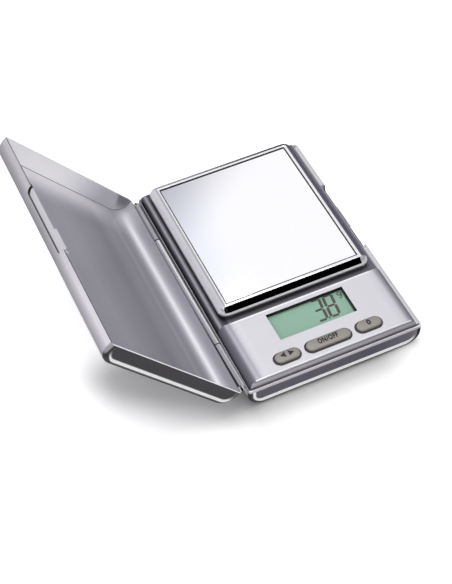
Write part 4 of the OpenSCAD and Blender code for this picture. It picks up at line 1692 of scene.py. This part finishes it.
@dataclass
class Housing:
    """Moulded housing in the base.

    Attributes:
        window: Low and high corner of the display opening.
        key_y: Middle of the key openings.
        key_reach: Half their width.
        row_reach: Half the length of the whole row, with room to spare.
        panel_under: Height at which the walls of the openings start.
        panel_z: Height of the panel.
    """

    window: tuple[float, float, float, float] = (-17.0, -40.5, 16.2, -27.1)
    key_y: float = -48.4
    key_reach: float = 2.8
    row_reach: float = 30.0
    panel_under: float = 12.9
    panel_z: float = 14.2

    def region(self, centre: Vector, normal: Vector) -> int:
        """Says whether a face is a wall of an opening in the panel.

        Args:
            centre: Its middle, in millimetres.
            normal: Where it faces.

        Returns:
            1 for such a wall, 0 for any other face.
        """
        x0, y0, x1, y1 = self.window
        near = 0.1
        upright = abs(normal.z) < 0.3 and self.panel_under < centre.z < self.panel_z
        in_window = x0 - near < centre.x < x1 + near and y0 - near < centre.y < y1 + near
        in_keys = (abs(centre.y - self.key_y) < self.key_reach
                   and abs(centre.x) < self.row_reach)
        return 1 if upright and (in_window or in_keys) else 0

    def build(self, shop: Workshop) -> None:
        """Makes the upper half and dresses the lower one.

        Args:
            shop: Makes and places the pieces.
        """
        paint = SparklePaint("housing_silver", srgb(217, 216, 222), 0.42, 0.2)
        wall = Finish("opening_black", srgb(12, 11, 12), 0.6)
        top = shop.refined("housing_top", "housing_upper", [paint, wall], self.region, 0.12)
        shop.place(top, Body.BASE, "housing_plastic", "housing_top")
        shop.dress(Finish("housing_floor", srgb(176, 175, 182), 0.5), "housing_bottom")
        shop.dress(BrushedSteel("screw_zinc", srgb(190, 190, 192), 0.3, 0.9,
                                grain=(3.0, 3.0, 3.0)),
                   *(n for n in shop.nodes if "screw" in n))


@dataclass
class SideTrim:
    """Flat trim that covers the gap beside the housing, clear of the catch.

    Attributes:
        inner: Its edge beside the housing.
        outer: Its edge beside the wall of the base.
        low: Height of its underside.
        top: Height of its top.
        spans: Its two stretches along the housing.
    """

    inner: float = 35.25
    outer: float = 36.65
    low: float = 9.45
    top: float = 9.9
    spans: tuple[tuple[float, float], ...] = ((-53.6, -9.6), (28.4, 53.6))

    def build(self, shop: Workshop) -> None:
        """Makes both stretches.

        Args:
            shop: Makes and places the pieces.
        """
        steel = BrushedSteel("trim_steel", srgb(220, 218, 224), 0.4, 0.1,
                             grain=(0.4, 5.0, 0.4), streaks=0.06)
        outlines = [[(self.inner, a), (self.outer, a), (self.outer, b), (self.inner, b)]
                    for a, b in self.spans]
        piece = shop.plates("side_trim", outlines, self.low, self.top, [steel])
        shop.soften(piece, 0.08)
        shop.place(piece, Body.BASE, "case_steel")


@dataclass
class SegmentDisplay:
    """Liquid-crystal display with its figures.

    Attributes:
        figure_len: Height of a figure.
        figure_wid: Width of a figure.
        low: Lower end of the figures along the housing.
        figures: Each figure with the place of its left side.
        point_x: Left side of the decimal point.
        lean: How far a figure leans for each millimetre of its height.
        half_across: Half the thickness of a bar that lies across.
        half_up: Half the thickness of an upright bar.
        half_unit: Half the thickness of the bars of the unit sign.
        top: Height of the glass.
        SEGMENTS: The bars of each figure.
        ENDS: Ends of each bar, in halves of the figure's width and height.
        UNIT: Ends of the bars of the unit sign.
    """

    figure_len: float = 10.3
    figure_wid: float = 3.6
    low: float = -37.6
    figures: tuple[tuple[str, float], ...] = (("3", 1.2), ("8", 6.6))
    point_x: float = 5.3
    lean: float = 0.11
    half_across: float = 0.51
    half_up: float = 0.59
    half_unit: float = 0.3
    top: float = 12.2

    SEGMENTS: ClassVar[Mapping[str, str]] = {"3": "abcdg", "8": "abcdefg"}
    ENDS: ClassVar[Mapping[str, tuple[int, int, int, int]]] = {
        "a": (0, 2, 2, 2), "b": (2, 1, 2, 2), "c": (2, 0, 2, 1), "d": (0, 0, 2, 0),
        "e": (0, 0, 0, 1), "f": (0, 1, 0, 2), "g": (0, 1, 2, 1)}
    UNIT: ClassVar[tuple[tuple[float, float, float, float], ...]] = (
        (13.6, -29.3, 13.8, -27.7), (14.9, -30.6, 15.2, -27.7), (13.7, -27.7, 15.1, -27.7),
        (13.6, -29.2, 15.0, -29.2), (13.5, -30.6, 14.9, -30.6))

    def bar(self, start: tuple[float, float], end: tuple[float, float],
            half: float) -> Outline:
        """Draws a bar with pointed ends.

        Args:
            start: Where it starts.
            end: Where it ends.
            half: Half its thickness.

        Returns:
            Its outline.
        """
        gap = 0.12
        along = (Vector(end) - Vector(start)).normalized()
        point, side = along * half, Vector((-along.y, along.x)) * half
        a, b = Vector(start) + along * gap, Vector(end) - along * gap
        points = [a, a + point + side, b - point + side, b, b - point - side, a + point - side]
        return [(p.x, p.y) for p in reversed(points)]

    def figure(self, sign: str, x: float) -> list[Outline]:
        """Draws the bars of a figure.

        Args:
            sign: The figure.
            x: Place of its left side.

        Returns:
            An outline for each bar.
        """
        bars = []
        wide, tall = self.figure_wid / 2, self.figure_len / 2
        for letter in self.SEGMENTS[sign]:
            x0, y0, x1, y1 = self.ENDS[letter]
            half = self.half_across if y0 == y1 else self.half_up
            bars.append([(x + px + self.lean * py, self.low + py) for px, py in self.bar(
                (x0 * wide, y0 * tall), (x1 * wide, y1 * tall), half)])
        return bars

    def build(self, shop: Workshop) -> None:
        """Dresses the glass and the clear window, and makes the figures.

        Args:
            shop: Makes and places the pieces.
        """
        glass = DisplayGreen("display_green", srgb(152, 194, 173), 0.5, relief=0.001)
        shop.dress(glass, "display_glass")
        shop.dress(Finish("strip_rubber", srgb(44, 44, 46), 0.7), "display_strip_front",
                   "display_strip_back")
        ink = Finish("figure_ink", srgb(70, 57, 53), 0.6, relief=0.001)
        x, y = self.point_x, self.low
        bars = [bar for sign, left in self.figures for bar in self.figure(sign, left)]
        bars.append([(x, y - 0.3), (x + 0.8, y - 0.3), (x + 0.85, y + 0.5), (x + 0.05, y + 0.5)])
        bars += [self.bar((x0, y0), (x1, y1), self.half_unit) for x0, y0, x1, y1 in self.UNIT]
        figures = shop.plates("display_figures", bars, self.top - 0.02, self.top + 0.04, [ink])
        shop.place(figures, Body.BASE, "display_green")
        clear = ClearFinish("window_clear", srgb(210, 222, 215), 0.05, cover=0.03)
        shop.dress(clear, "display_window")


@dataclass
class KeyRow:
    """The three keys under the display.

    Attributes:
        middle: Middle of the row across.
        y: Middle of the keys along the housing.
        pitch: Distance between two keys.
        width: Width of the keys.
        lengths: Length of each key.
        flange_z: Underside of the rim that keeps a key in.
        top: Height of the keys.
        edge_r: Radius of their top edge.
        crown: How much higher the middle of a key is than its edge.
        flange: How far the rim that keeps a key in stands out.
        flange_h: Thickness of that rim.
        mark_up: How far above the middle of a key its mark stands.
        letter_size: Size of the lettering before it is fitted.
        letter_bold: How much thicker its strokes are.
        letter_space: Spacing of its letters.
        letter_rise: How high it is raised.
    """

    middle: float = -0.4
    y: float = -48.4
    pitch: float = 17.5
    width: float = 5.0
    lengths: tuple[float, float, float] = (10.6, 19.0, 10.6)
    flange_z: float = 12.0
    top: float = 15.0
    edge_r: float = 0.7
    crown: float = 0.12
    flange: float = 0.8
    flange_h: float = 0.9
    mark_up: float = 0.5
    letter_size: float = 3.6
    letter_bold: float = 0.18
    letter_space: float = 1.16
    letter_rise: float = 0.03

    def ring(self, x: float, length: float, inset: float, z: float) -> list[Point]:
        """Draws a ring with straight sides and round ends.

        Args:
            x: Middle of the key across.
            length: Length of the key.
            inset: How far the ring lies inside the key's outline.
            z: Its height.

        Returns:
            Its points.
        """
        radius, flat = self.width / 2 - inset, (length - self.width) / 2
        points = []
        for side in (1, -1):
            for step in range(17):
                angle = math.pi * (step / 16 - 0.5)
                points.append((x + side * (flat + radius * math.cos(angle)),
                               self.y + side * radius * math.sin(angle), z))
        return points

    def cap(self, shop: Workshop, index: int, finish: Finish) -> Piece:
        """Makes one key cap with a softly crowned top.

        Args:
            shop: Makes the mesh.
            index: 0 for the left key, 1 for the middle one, 2 for the right one.
            finish: Its finish.

        Returns:
            The cap.
        """
        x, length = self.middle + (index - 1) * self.pitch, self.lengths[index]
        flange_top, edge_top = self.flange_z + self.flange_h, self.top - self.crown
        steps = [(-self.flange, self.flange_z), (-self.flange, flange_top), (0.0, flange_top)]
        for step in range(7):
            angle = math.pi / 2 * step / 6
            steps.append((self.edge_r * (1 - math.cos(angle)),
                          edge_top - self.edge_r * (1 - math.sin(angle))))
        half = self.width / 2
        for inset in (1.0, 1.5, 2.0, 2.4):
            share = 1 - ((half - inset) / (half - self.edge_r)) ** 2
            steps.append((inset, edge_top + self.crown * share))
        rings = [self.ring(x, length, inset, z) for inset, z in steps]
        piece = shop.loft("key_cap_" + ("left", "middle", "right")[index], rings, [finish])
        shop.soften(piece, 0.05)
        return piece

    def words(self, name: str, text: str, x: float, size: tuple[float, float],
              ink: Finish) -> Piece:
        """Makes raised lettering on a key.

        Args:
            name: Name of the piece.
            text: What it says.
            x: Middle of the lettering across.
            size: Its width and height.
            ink: Its finish.

        Returns:
            The lettering.
        """
        curve = bpy.data.curves.new(name, "FONT")
        curve.body = text
        curve.size = self.letter_size * MM
        curve.offset = self.letter_bold * MM
        curve.space_character = self.letter_space
        curve.extrude = self.letter_rise * MM
        curve.resolution_u = 4
        data = plain_mesh(linked(name + "_carrier", curve))
        data.materials.clear()
        data.materials.append(ink.material())
        low = [min(v.co[i] for v in data.vertices) for i in (0, 1)]
        high = [max(v.co[i] for v in data.vertices) for i in (0, 1)]
        scale = [s * MM / (b - a) for s, a, b in zip(size, low, high)]
        data.transform(Matrix.Translation((-(low[0] + high[0]) / 2, -(low[1] + high[1]) / 2, 0)))
        return moved(linked(name, data), at(x, self.y + self.mark_up, self.top)
                     @ Matrix.Diagonal((*scale, 1.0, 1.0)))

    def build(self, shop: Workshop) -> None:
        """Makes the caps and their marks.

        Args:
            shop: Makes and places the pieces.
        """
        finish = Finish("key_grey", srgb(150, 145, 139), 0.4, 0.1, relief=0.004)
        ink = Finish("key_ink", srgb(20, 17, 18), 0.6, relief=0.001)
        for index, body in enumerate((Body.KEY_LEFT, Body.KEY_MIDDLE, Body.KEY_RIGHT)):
            shop.place(self.cap(shop, index, finish), body, "button_grey", body.value)
        word = self.words("key_words_middle", "ON/OFF", self.middle - 0.1, (8.6, 2.6), ink)
        shop.place(word, Body.KEY_MIDDLE, "button_grey")
        zero = self.words("key_figure_right", "0", self.middle + self.pitch, (1.7, 2.6), ink)
        shop.place(zero, Body.KEY_RIGHT, "button_grey")
        x, y = self.middle - self.pitch, self.y + self.mark_up
        tip, foot, half = 3.0, 0.7, 1.3
        arrows = [[(x + s * tip, y), (x + s * foot, y + s * half), (x + s * foot, y - s * half)]
                  for s in (1, -1)]
        marks = shop.plates("key_arrows_left", arrows, self.top - 0.06, self.top + 0.03, [ink])
        shop.place(marks, Body.KEY_LEFT, "button_grey")


@dataclass
class WeighingPan:
    """Pan with its rounded skirt, its bead and the mirror plate.

    Attributes:
        x: Middle of the pan across.
        y: Middle of the pan along the housing.
        plate_y: Middle of the mirror plate in the frame.
        width: Width over the skirt.
        length: Length over the skirt.
        low: Height of the lower edge.
        top: Height of the rim.
        skirt_r: Width of the rounded skirt.
        skirt_h: Height of its rounded part.
        first_turn: How steeply it starts, in degrees: more is steeper.
        sheet: Thickness of the skirt at its lower edge.
        rim: Width of the rim.
        seal: Distance between the rim and the line round the mirror plate.
        seal_r: Radius of that line.
        seal_z: Its height.
    """

    x: float = -0.35
    y: float = 16.3
    plate_y: float = 16.0
    width: float = 65.8
    length: float = 75.1
    low: float = 13.4
    top: float = 16.9
    skirt_r: float = 3.0
    skirt_h: float = 3.15
    first_turn: float = 48.0
    sheet: float = 1.2
    rim: float = 1.0
    seal: float = 0.2
    seal_r: float = 0.18
    seal_z: float = 16.75

    def ring(self, inset: float, corner: float, z: float) -> list[Point]:
        """Draws a rounded rectangle.

        Args:
            inset: How far it lies inside the widest outline.
            corner: Radius of its corners.
            z: Its height.

        Returns:
            Its points.
        """
        half = (self.width / 2 - inset, self.length / 2 - inset)
        points = []
        for side_x, side_y, turn in ((1, 1, 0), (-1, 1, 90), (-1, -1, 180), (1, -1, 270)):
            for step in range(9):
                angle = math.radians(turn + 90 * step / 8)
                points.append((self.x + side_x * (half[0] - corner) + corner * math.cos(angle),
                               self.y + side_y * (half[1] - corner) + corner * math.sin(angle),
                               z))
        return points

    def frame_rings(self) -> list[list[Point]]:
        """Lists the rings of the pan frame, from inside its rim round to its underside.

        Returns:
            The rings.
        """
        hole, thick = self.skirt_r + self.rim, self.sheet
        steps = [(hole, 0.3, self.top - 1.2), (hole, 0.3, self.top - 0.12),
                 (hole - 0.12, 0.42, self.top)]
        first = math.radians(self.first_turn)
        for step in range(15):
            angle = first + (math.pi / 2 - first) * step / 14
            out = (math.sin(angle) - math.sin(first)) / (1 - math.sin(first))
            down = (math.cos(first) - math.cos(angle)) / math.cos(first)
            steps.append((self.skirt_r * (1 - out), 0.7 + 3.3 * out,
                          self.top - 0.04 - self.skirt_h * down))
        soft = 0.15
        steps += [(0.0, 4.0, self.low + soft), (soft, 3.9, self.low),
                  (thick - soft, 3.0, self.low), (thick, 2.9, self.low + soft),
                  (thick, 2.9, self.top - 1.8)]
        return [self.ring(*step) for step in steps]

    def region(self, centre: Vector) -> int:
        """Says which part of the pan frame a face belongs to.

        Args:
            centre: Its middle, in millimetres.

        Returns:
            0 outside, 1 inside.
        """
        inside = max(abs(centre.x - self.x) - self.width / 2,
                     abs(centre.y - self.y) - self.length / 2)
        if centre.z > self.top - 0.3:
            return 0
        return 1 if inside < -self.skirt_r or centre.z < self.low + 0.01 else 0

    def build(self, shop: Workshop) -> None:
        """Makes the frame, the mirror plate and the line round it.

        Args:
            shop: Makes and places the pieces.
        """
        skirt = PanSteel("pan_painted_reflection", srgb(226, 226, 231), 0.1, 0.97,
                         grain=(0.5, 0.5, 6.0), streaks=0.03, relief=0.0002)
        dark = Finish("pan_inside", srgb(70, 70, 74), 0.6)
        piece = shop.loft("pan_skirt_frame", self.frame_rings(), [skirt, dark])
        for polygon in piece.data.polygons:
            polygon.material_index = self.region(polygon.center / MM)
        piece.modifiers.new("shading", "WEIGHTED_NORMAL")
        shop.place(piece, Body.PLATFORM, "pan_silver", "pan_frame")
        mirror = MirrorFinish("mirror_bright", srgb(252, 252, 254), 0.03, 1.0)
        plate = shop.refined("mirror_plate", "mirror_bright_plate", [mirror], edge=0.15)
        moved(plate, at(self.x, self.y - self.plate_y, 0.0))
        shop.place(plate, Body.PLATFORM, "mirror_plate", "mirror_plate")
        inset = 2 * (self.skirt_r + self.rim + self.seal)
        line = FrameBead("pan_seal_line", Finish("seal_dark", srgb(40, 33, 28), 0.6), {
            "Width": self.width - inset, "Length": self.length - inset,
            "Corner": 0.3, "Radius": self.seal_r}).build()
        moved(line, at(self.x, self.y, self.seal_z))
        shop.place(line, Body.PLATFORM, "pan_silver")
        shop.dress(Finish("support_cast", srgb(188, 188, 192), 0.45, 0.8), "pan_support")


@dataclass
class BatteryBay:
    """Battery cap under the base, with its grip ribs, and the cell.

    Attributes:
        x: Middle of the cap across.
        y: Middle of the cap along the base.
        rib_z: Middle height of the ribs.
    """

    x: float = 13.0
    y: float = -38.0
    rib_z: float = 0.1

    def build(self, shop: Workshop) -> None:
        """Makes the cap and its ribs, and dresses the cell and its contacts.

        Args:
            shop: Makes and places the pieces.
        """
        grey = Finish("cap_grey", srgb(96, 95, 98), 0.5, relief=0.03)
        cap = shop.refined("battery_cap", "battery_turn_cap", [grey], edge=0.12)
        shop.place(cap, Body.BATTERY_DOOR, "cap_grey", "battery_cap")
        ribs = RibRing("battery_cap_ribs", grey, {
            "Count": 36, "Radius": 11.4, "Width": 0.9, "Length": 0.16, "Height": 0.5}).build()
        moved(ribs, at(self.x, self.y, self.rib_z))
        shop.place(ribs, Body.BATTERY_DOOR, "cap_grey")
        shop.dress(BrushedSteel("cell_nickel", srgb(205, 204, 202), 0.25, 0.95,
                                grain=(0.4, 0.4, 4.0)), "coin_cell")
        shop.dress(BrushedSteel("contact_brass", srgb(205, 172, 96), 0.3, 0.95,
                                grain=(3.0, 0.4, 3.0)),
                   "battery_contact_side", "battery_contact_top")


@dataclass
class Electronics:
    """Board, switches, load cell and wires inside the housing.

    Attributes:
        pads: Middle of the solder pads on the board.
    """

    pads: Point = (-0.4, -28.9, 8.7)

    def build(self, shop: Workshop) -> None:
        """Dresses the parts and adds the solder pads.

        Args:
            shop: Makes and places the pieces.
        """
        shop.dress(SolderMask("board_green", srgb(24, 92, 52), 0.35, coat=0.3), "circuit_board")
        shop.dress(Finish("chip_resin", srgb(22, 22, 24), 0.25, coat=0.4), "coated_chip")
        shop.dress(Finish("switch_grey", srgb(62, 62, 66), 0.45),
                   "key_switch_left", "key_switch_middle", "key_switch_right")
        shop.dress(BrushedSteel("cell_aluminium", srgb(206, 206, 210), 0.35, 0.95,
                                grain=(4.0, 0.08, 4.0)), "load_cell")
        shop.dress(Finish("gauge_foil", srgb(204, 156, 74), 0.3, 0.3), *(
            f"strain_gauge_{i}" for i in (1, 2, 3, 4)))
        shop.dress(WireRibbon("ribbon_wires", srgb(176, 34, 30), 0.45, relief=0.05),
                   "gauge_ribbon")
        solder = BrushedSteel("solder_bright", srgb(208, 208, 206), 0.3, 0.95,
                              grain=(2.0, 2.0, 2.0))
        pads = PadGrid("board_solder_pads", solder, {
            "Columns": 13, "Rows": 2, "Width": 30.0, "Length": 1.6, "Radius": 0.45,
            "Height": 0.3}).build()
        moved(pads, at(*self.pads))
        shop.place(pads, Body.BASE, "board_green")


@dataclass
class Studio:
    """Camera, lamps, floor and surroundings.

    Attributes:
        azimuth: Where the camera stands round the object, in degrees.
        elevation: How high it stands, in degrees.
        roll: Its turn about its own axis, in degrees.
        shift: Sideways and upward offset of the object, in millimetres.
        distance: From the origin, in millimetres.
        focal: Focal length in pixels of the photograph.
        frame_size: Width and height of the photograph.
        sensor: Width of the sensor, in millimetres.
        dome: Strength of the soft light from behind and from the front.
        floor_z: Height of the floor, just clear of the case.
        floor_size: Half the length of its side, in metres.
        paper: Its own colour.
        floor_pale: How pale the floor is to the camera.
        floor_dim: How pale it is to the camera in the painted shadow close to the front of the
            open cover.
        floor_glow: How much brighter the floor beside the case is than it is lit, outside its
            painted shadow.
        shade_side: Where the floor's painted shadow starts to follow the slant of the cover.
        shade_slant: How fast it follows it.
        shade_front: Its soft front edge.
        shade_back: Its soft back edge.
        shade_left: Its soft left edge.
        shade_right: Its soft right edge.
        room_fade: Where the floor that metal shows fades to the dim part of the room.
        room_dim: Colour of that part.
        lamps: Name, place in metres, size and power of each lamp.
    """

    azimuth: float = -22.904
    elevation: float = 51.002
    roll: float = -2.249
    shift: tuple[float, float] = (19.866, 6.756)
    distance: float = 591.205
    focal: float = 1440.434
    frame_size: tuple[int, int] = (452, 584)
    sensor: float = 36.0
    dome: tuple[float, float] = (0.22, 0.58)
    floor_z: float = -0.02
    floor_size: float = 4.0
    paper: Colour = (0.9, 0.9, 0.9)
    floor_pale: float = 1.22
    floor_dim: float = 0.88
    floor_glow: float = 0.42
    shade_side: float = 36.0
    shade_slant: float = 0.75
    shade_front: tuple[float, float] = (55.0, 80.0)
    shade_back: tuple[float, float] = (-20.0, 0.0)
    shade_left: tuple[float, float] = (78.0, 98.0)
    shade_right: tuple[float, float] = (15.0, 45.0)
    room_fade: tuple[float, float] = (-20.0, 70.0)
    room_dim: Colour = (0.12, 0.12, 0.16)
    lamps: tuple[tuple[str, Point, float, float], ...] = (
        ("key", (-0.05, 0.3, 1.4), 1.1, 10.2), ("fill", (-1.1, 0.1, 1.1), 0.6, 3.5))

    def camera(self) -> None:
        """Sets the camera as in the photograph."""
        a, e, r = (math.radians(v) for v in (self.azimuth, self.elevation, self.roll))
        back = Vector((math.sin(a) * math.cos(e), -math.cos(a) * math.cos(e), math.sin(e)))
        level = (-back).cross(Vector((0, 0, 1))).normalized()
        upright = level.cross(-back)
        right = math.cos(r) * level + math.sin(r) * upright
        top = -math.sin(r) * level + math.cos(r) * upright
        place = back * self.distance - right * self.shift[0] - top * self.shift[1]
        data = bpy.data.cameras.new("photo_camera")
        data.sensor_width = self.sensor
        data.lens = self.focal / max(self.frame_size) * self.sensor
        data.clip_start, data.clip_end = 0.01, 50.0
        camera = linked("photo_camera", data)
        turn = Matrix((right, top, back)).transposed().to_4x4()
        camera.matrix_world = Matrix.Translation(place * MM) @ turn
        bpy.context.scene.camera = camera

    def lamp(self, name: str, place: Point, size: float, power: float) -> None:
        """Adds a soft square lamp that faces the object.

        Args:
            name: Its name.
            place: Where it stands, in metres.
            size: Length of its side, in metres.
            power: Its power in watts.
        """
        data = bpy.data.lights.new(name, "AREA")
        data.energy = power
        data.size = size
        lamp = linked(name, data)
        lamp.location = place
        lamp.rotation_euler = (-Vector(place)).to_track_quat("-Z", "Y").to_euler()

    def floor_material(self) -> bpy.types.Material:
        """Makes the floor's material, white to the camera outside a painted shadow in front of the
        open cover.

        Returns:
            The material.
        """
        material = bpy.data.materials.new("floor_white")
        material.use_nodes = True
        graph = Graph(material.node_tree)
        rays = graph.node("ShaderNodeLightPath")
        seen = graph.out(rays, "Is Camera Ray")
        place = graph.position()
        x, y, _ = graph.axes(place)
        pale = graph.scaled(self.paper, 0.99 + 0.01 * graph.noise(place, 0.02, 2.0))
        dimmed_tone = graph.mix(x.rise(*self.room_fade), pale, self.room_dim)
        colour = graph.mix(graph.out(rays, "Is Glossy Ray"), pale, dimmed_tone)
        # Painted shadow: a soft zone in front of and under the open cover, dimmer to the camera
        # and without glow, whatever the pose.
        reach = (0 - y) + self.shade_slant * ((0 - x) - self.shade_side).at_least(0.0)
        along = (1 - reach.rise(*self.shade_front)) * (1 - y.rise(*self.shade_back))
        across = (1 - (0 - x).rise(*self.shade_left)) * (1 - x.rise(*self.shade_right))
        lit = 1 - along * across
        white = graph.mix(lit, (self.floor_dim,) * 3, (self.floor_pale,) * 3)
        matt = graph.value("ShaderNodeBsdfDiffuse", None, {
            "Color": graph.mix(seen, colour, white)})
        glow = graph.value("ShaderNodeEmission", None, {
            "Color": (1.0, 1.0, 1.0, 1.0), "Strength": seen * self.floor_glow * lit})
        graph.node("ShaderNodeOutputMaterial", None, {
            0: graph.value("ShaderNodeAddShader", None, {0: matt, 1: glow})})
        return material

    def floor(self) -> None:
        """Adds the pale floor under the case."""
        mesh = bmesh.new()
        bmesh.ops.create_grid(mesh, x_segments=2, y_segments=2, size=self.floor_size)
        bmesh.ops.translate(mesh, verts=mesh.verts, vec=(0.0, 0.0, self.floor_z * MM))
        data = bpy.data.meshes.new("studio_floor")
        mesh.to_mesh(data)
        mesh.free()
        data.materials.append(self.floor_material())
        linked("studio_floor", data)

    def surroundings(self) -> None:
        """Sets the soft dome of light, with the dim room that bright metal shows."""
        world = bpy.data.worlds.new("studio")
        bpy.context.scene.world = world
        world.use_nodes = True
        graph = Graph(world.node_tree)
        x, y, z = graph.axes(graph.out(graph.node("ShaderNodeTexCoord"), "Generated"))
        rays = graph.node("ShaderNodeLightPath")
        card = (0 - y).rise(-0.03, 0.08) * x.rise(-0.06, 0.08)
        room = graph.mix(x.rise(0.15, 0.45) * (1 - z.rise(0.36, 0.5)),
                         (1.0, 1.0, 1.02), self.room_dim)
        room = graph.mix((0 - x).rise(0.2, 0.5) * (1 - z.rise(0.3, 0.7)), room,
                         (0.62, 0.61, 0.65))
        room = graph.mix(card, room, (0.012, 0.01, 0.012))
        soft = graph.mix((0 - y).rise(-0.25, 0.9), *((level,) * 3 for level in self.dome))
        seen = graph.mix(graph.out(rays, "Is Glossy Ray"), soft, room)
        seen = graph.mix(graph.out(rays, "Is Camera Ray"), seen, (1.0, 1.0, 1.0))
        graph.node("ShaderNodeOutputWorld", None, {0: graph.value(
            "ShaderNodeBackground", None, {"Color": seen, "Strength": 1.0})})

    def build(self) -> None:
        """Sets up the whole studio."""
        self.camera()
        self.floor()
        self.surroundings()
        for lamp in self.lamps:
            self.lamp(*lamp)
        bpy.context.scene.view_settings.view_transform = "Standard"


def cover_place(joints: Sequence[Mapping[str, object]], width: float, depth: float,
                hinge_out: float = 1.8, gap: float = 0.1) -> TrayPlace:
    """Works out where the open cover lies from the hinge joint.

    Args:
        joints: The frame's joints.
        width: Width of the cover.
        depth: Depth of the cover.
        hinge_out: Distance from the cover's wall to the hinge axis.
        gap: Gap between the rims when the case is shut.

    Returns:
        The cover's own axes.
    """
    hinge = next(j for j in joints if j["name"] == "cover_hinge")
    angle = math.radians(hinge["range_deg"][1])
    x, _, z = (value / MM for value in hinge["pos_m"])
    across = (math.cos(angle), 0.0, math.sin(angle))
    up = (math.sin(angle), 0.0, -math.cos(angle))
    out, down = hinge_out + width / 2, depth + gap
    return TrayPlace((x + out * across[0] - down * up[0], 0.0,
                      z + out * across[2] - down * up[2]), across, up)


def main() -> None:
    """Builds every sub-assembly, then the studio, and keeps both sizes."""
    logging.basicConfig(level=logging.INFO, format="%(name)s: %(message)s")
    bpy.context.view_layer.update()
    shop = Workshop(frame["nodes"])
    base, depth = PressedTray(), 8.2
    cover = PressedTray(depth=depth, place=cover_place(frame["joints"], base.width, depth))
    for part in (SteelCase(base, cover), BarrelHinge(), ThumbCatch(cover.place), Housing(),
                 SideTrim(), SegmentDisplay(), KeyRow(), WeighingPan(), BatteryBay(),
                 Electronics()):
        part.build(shop)
    Studio().build()


if __name__ == "__main__":
    main()
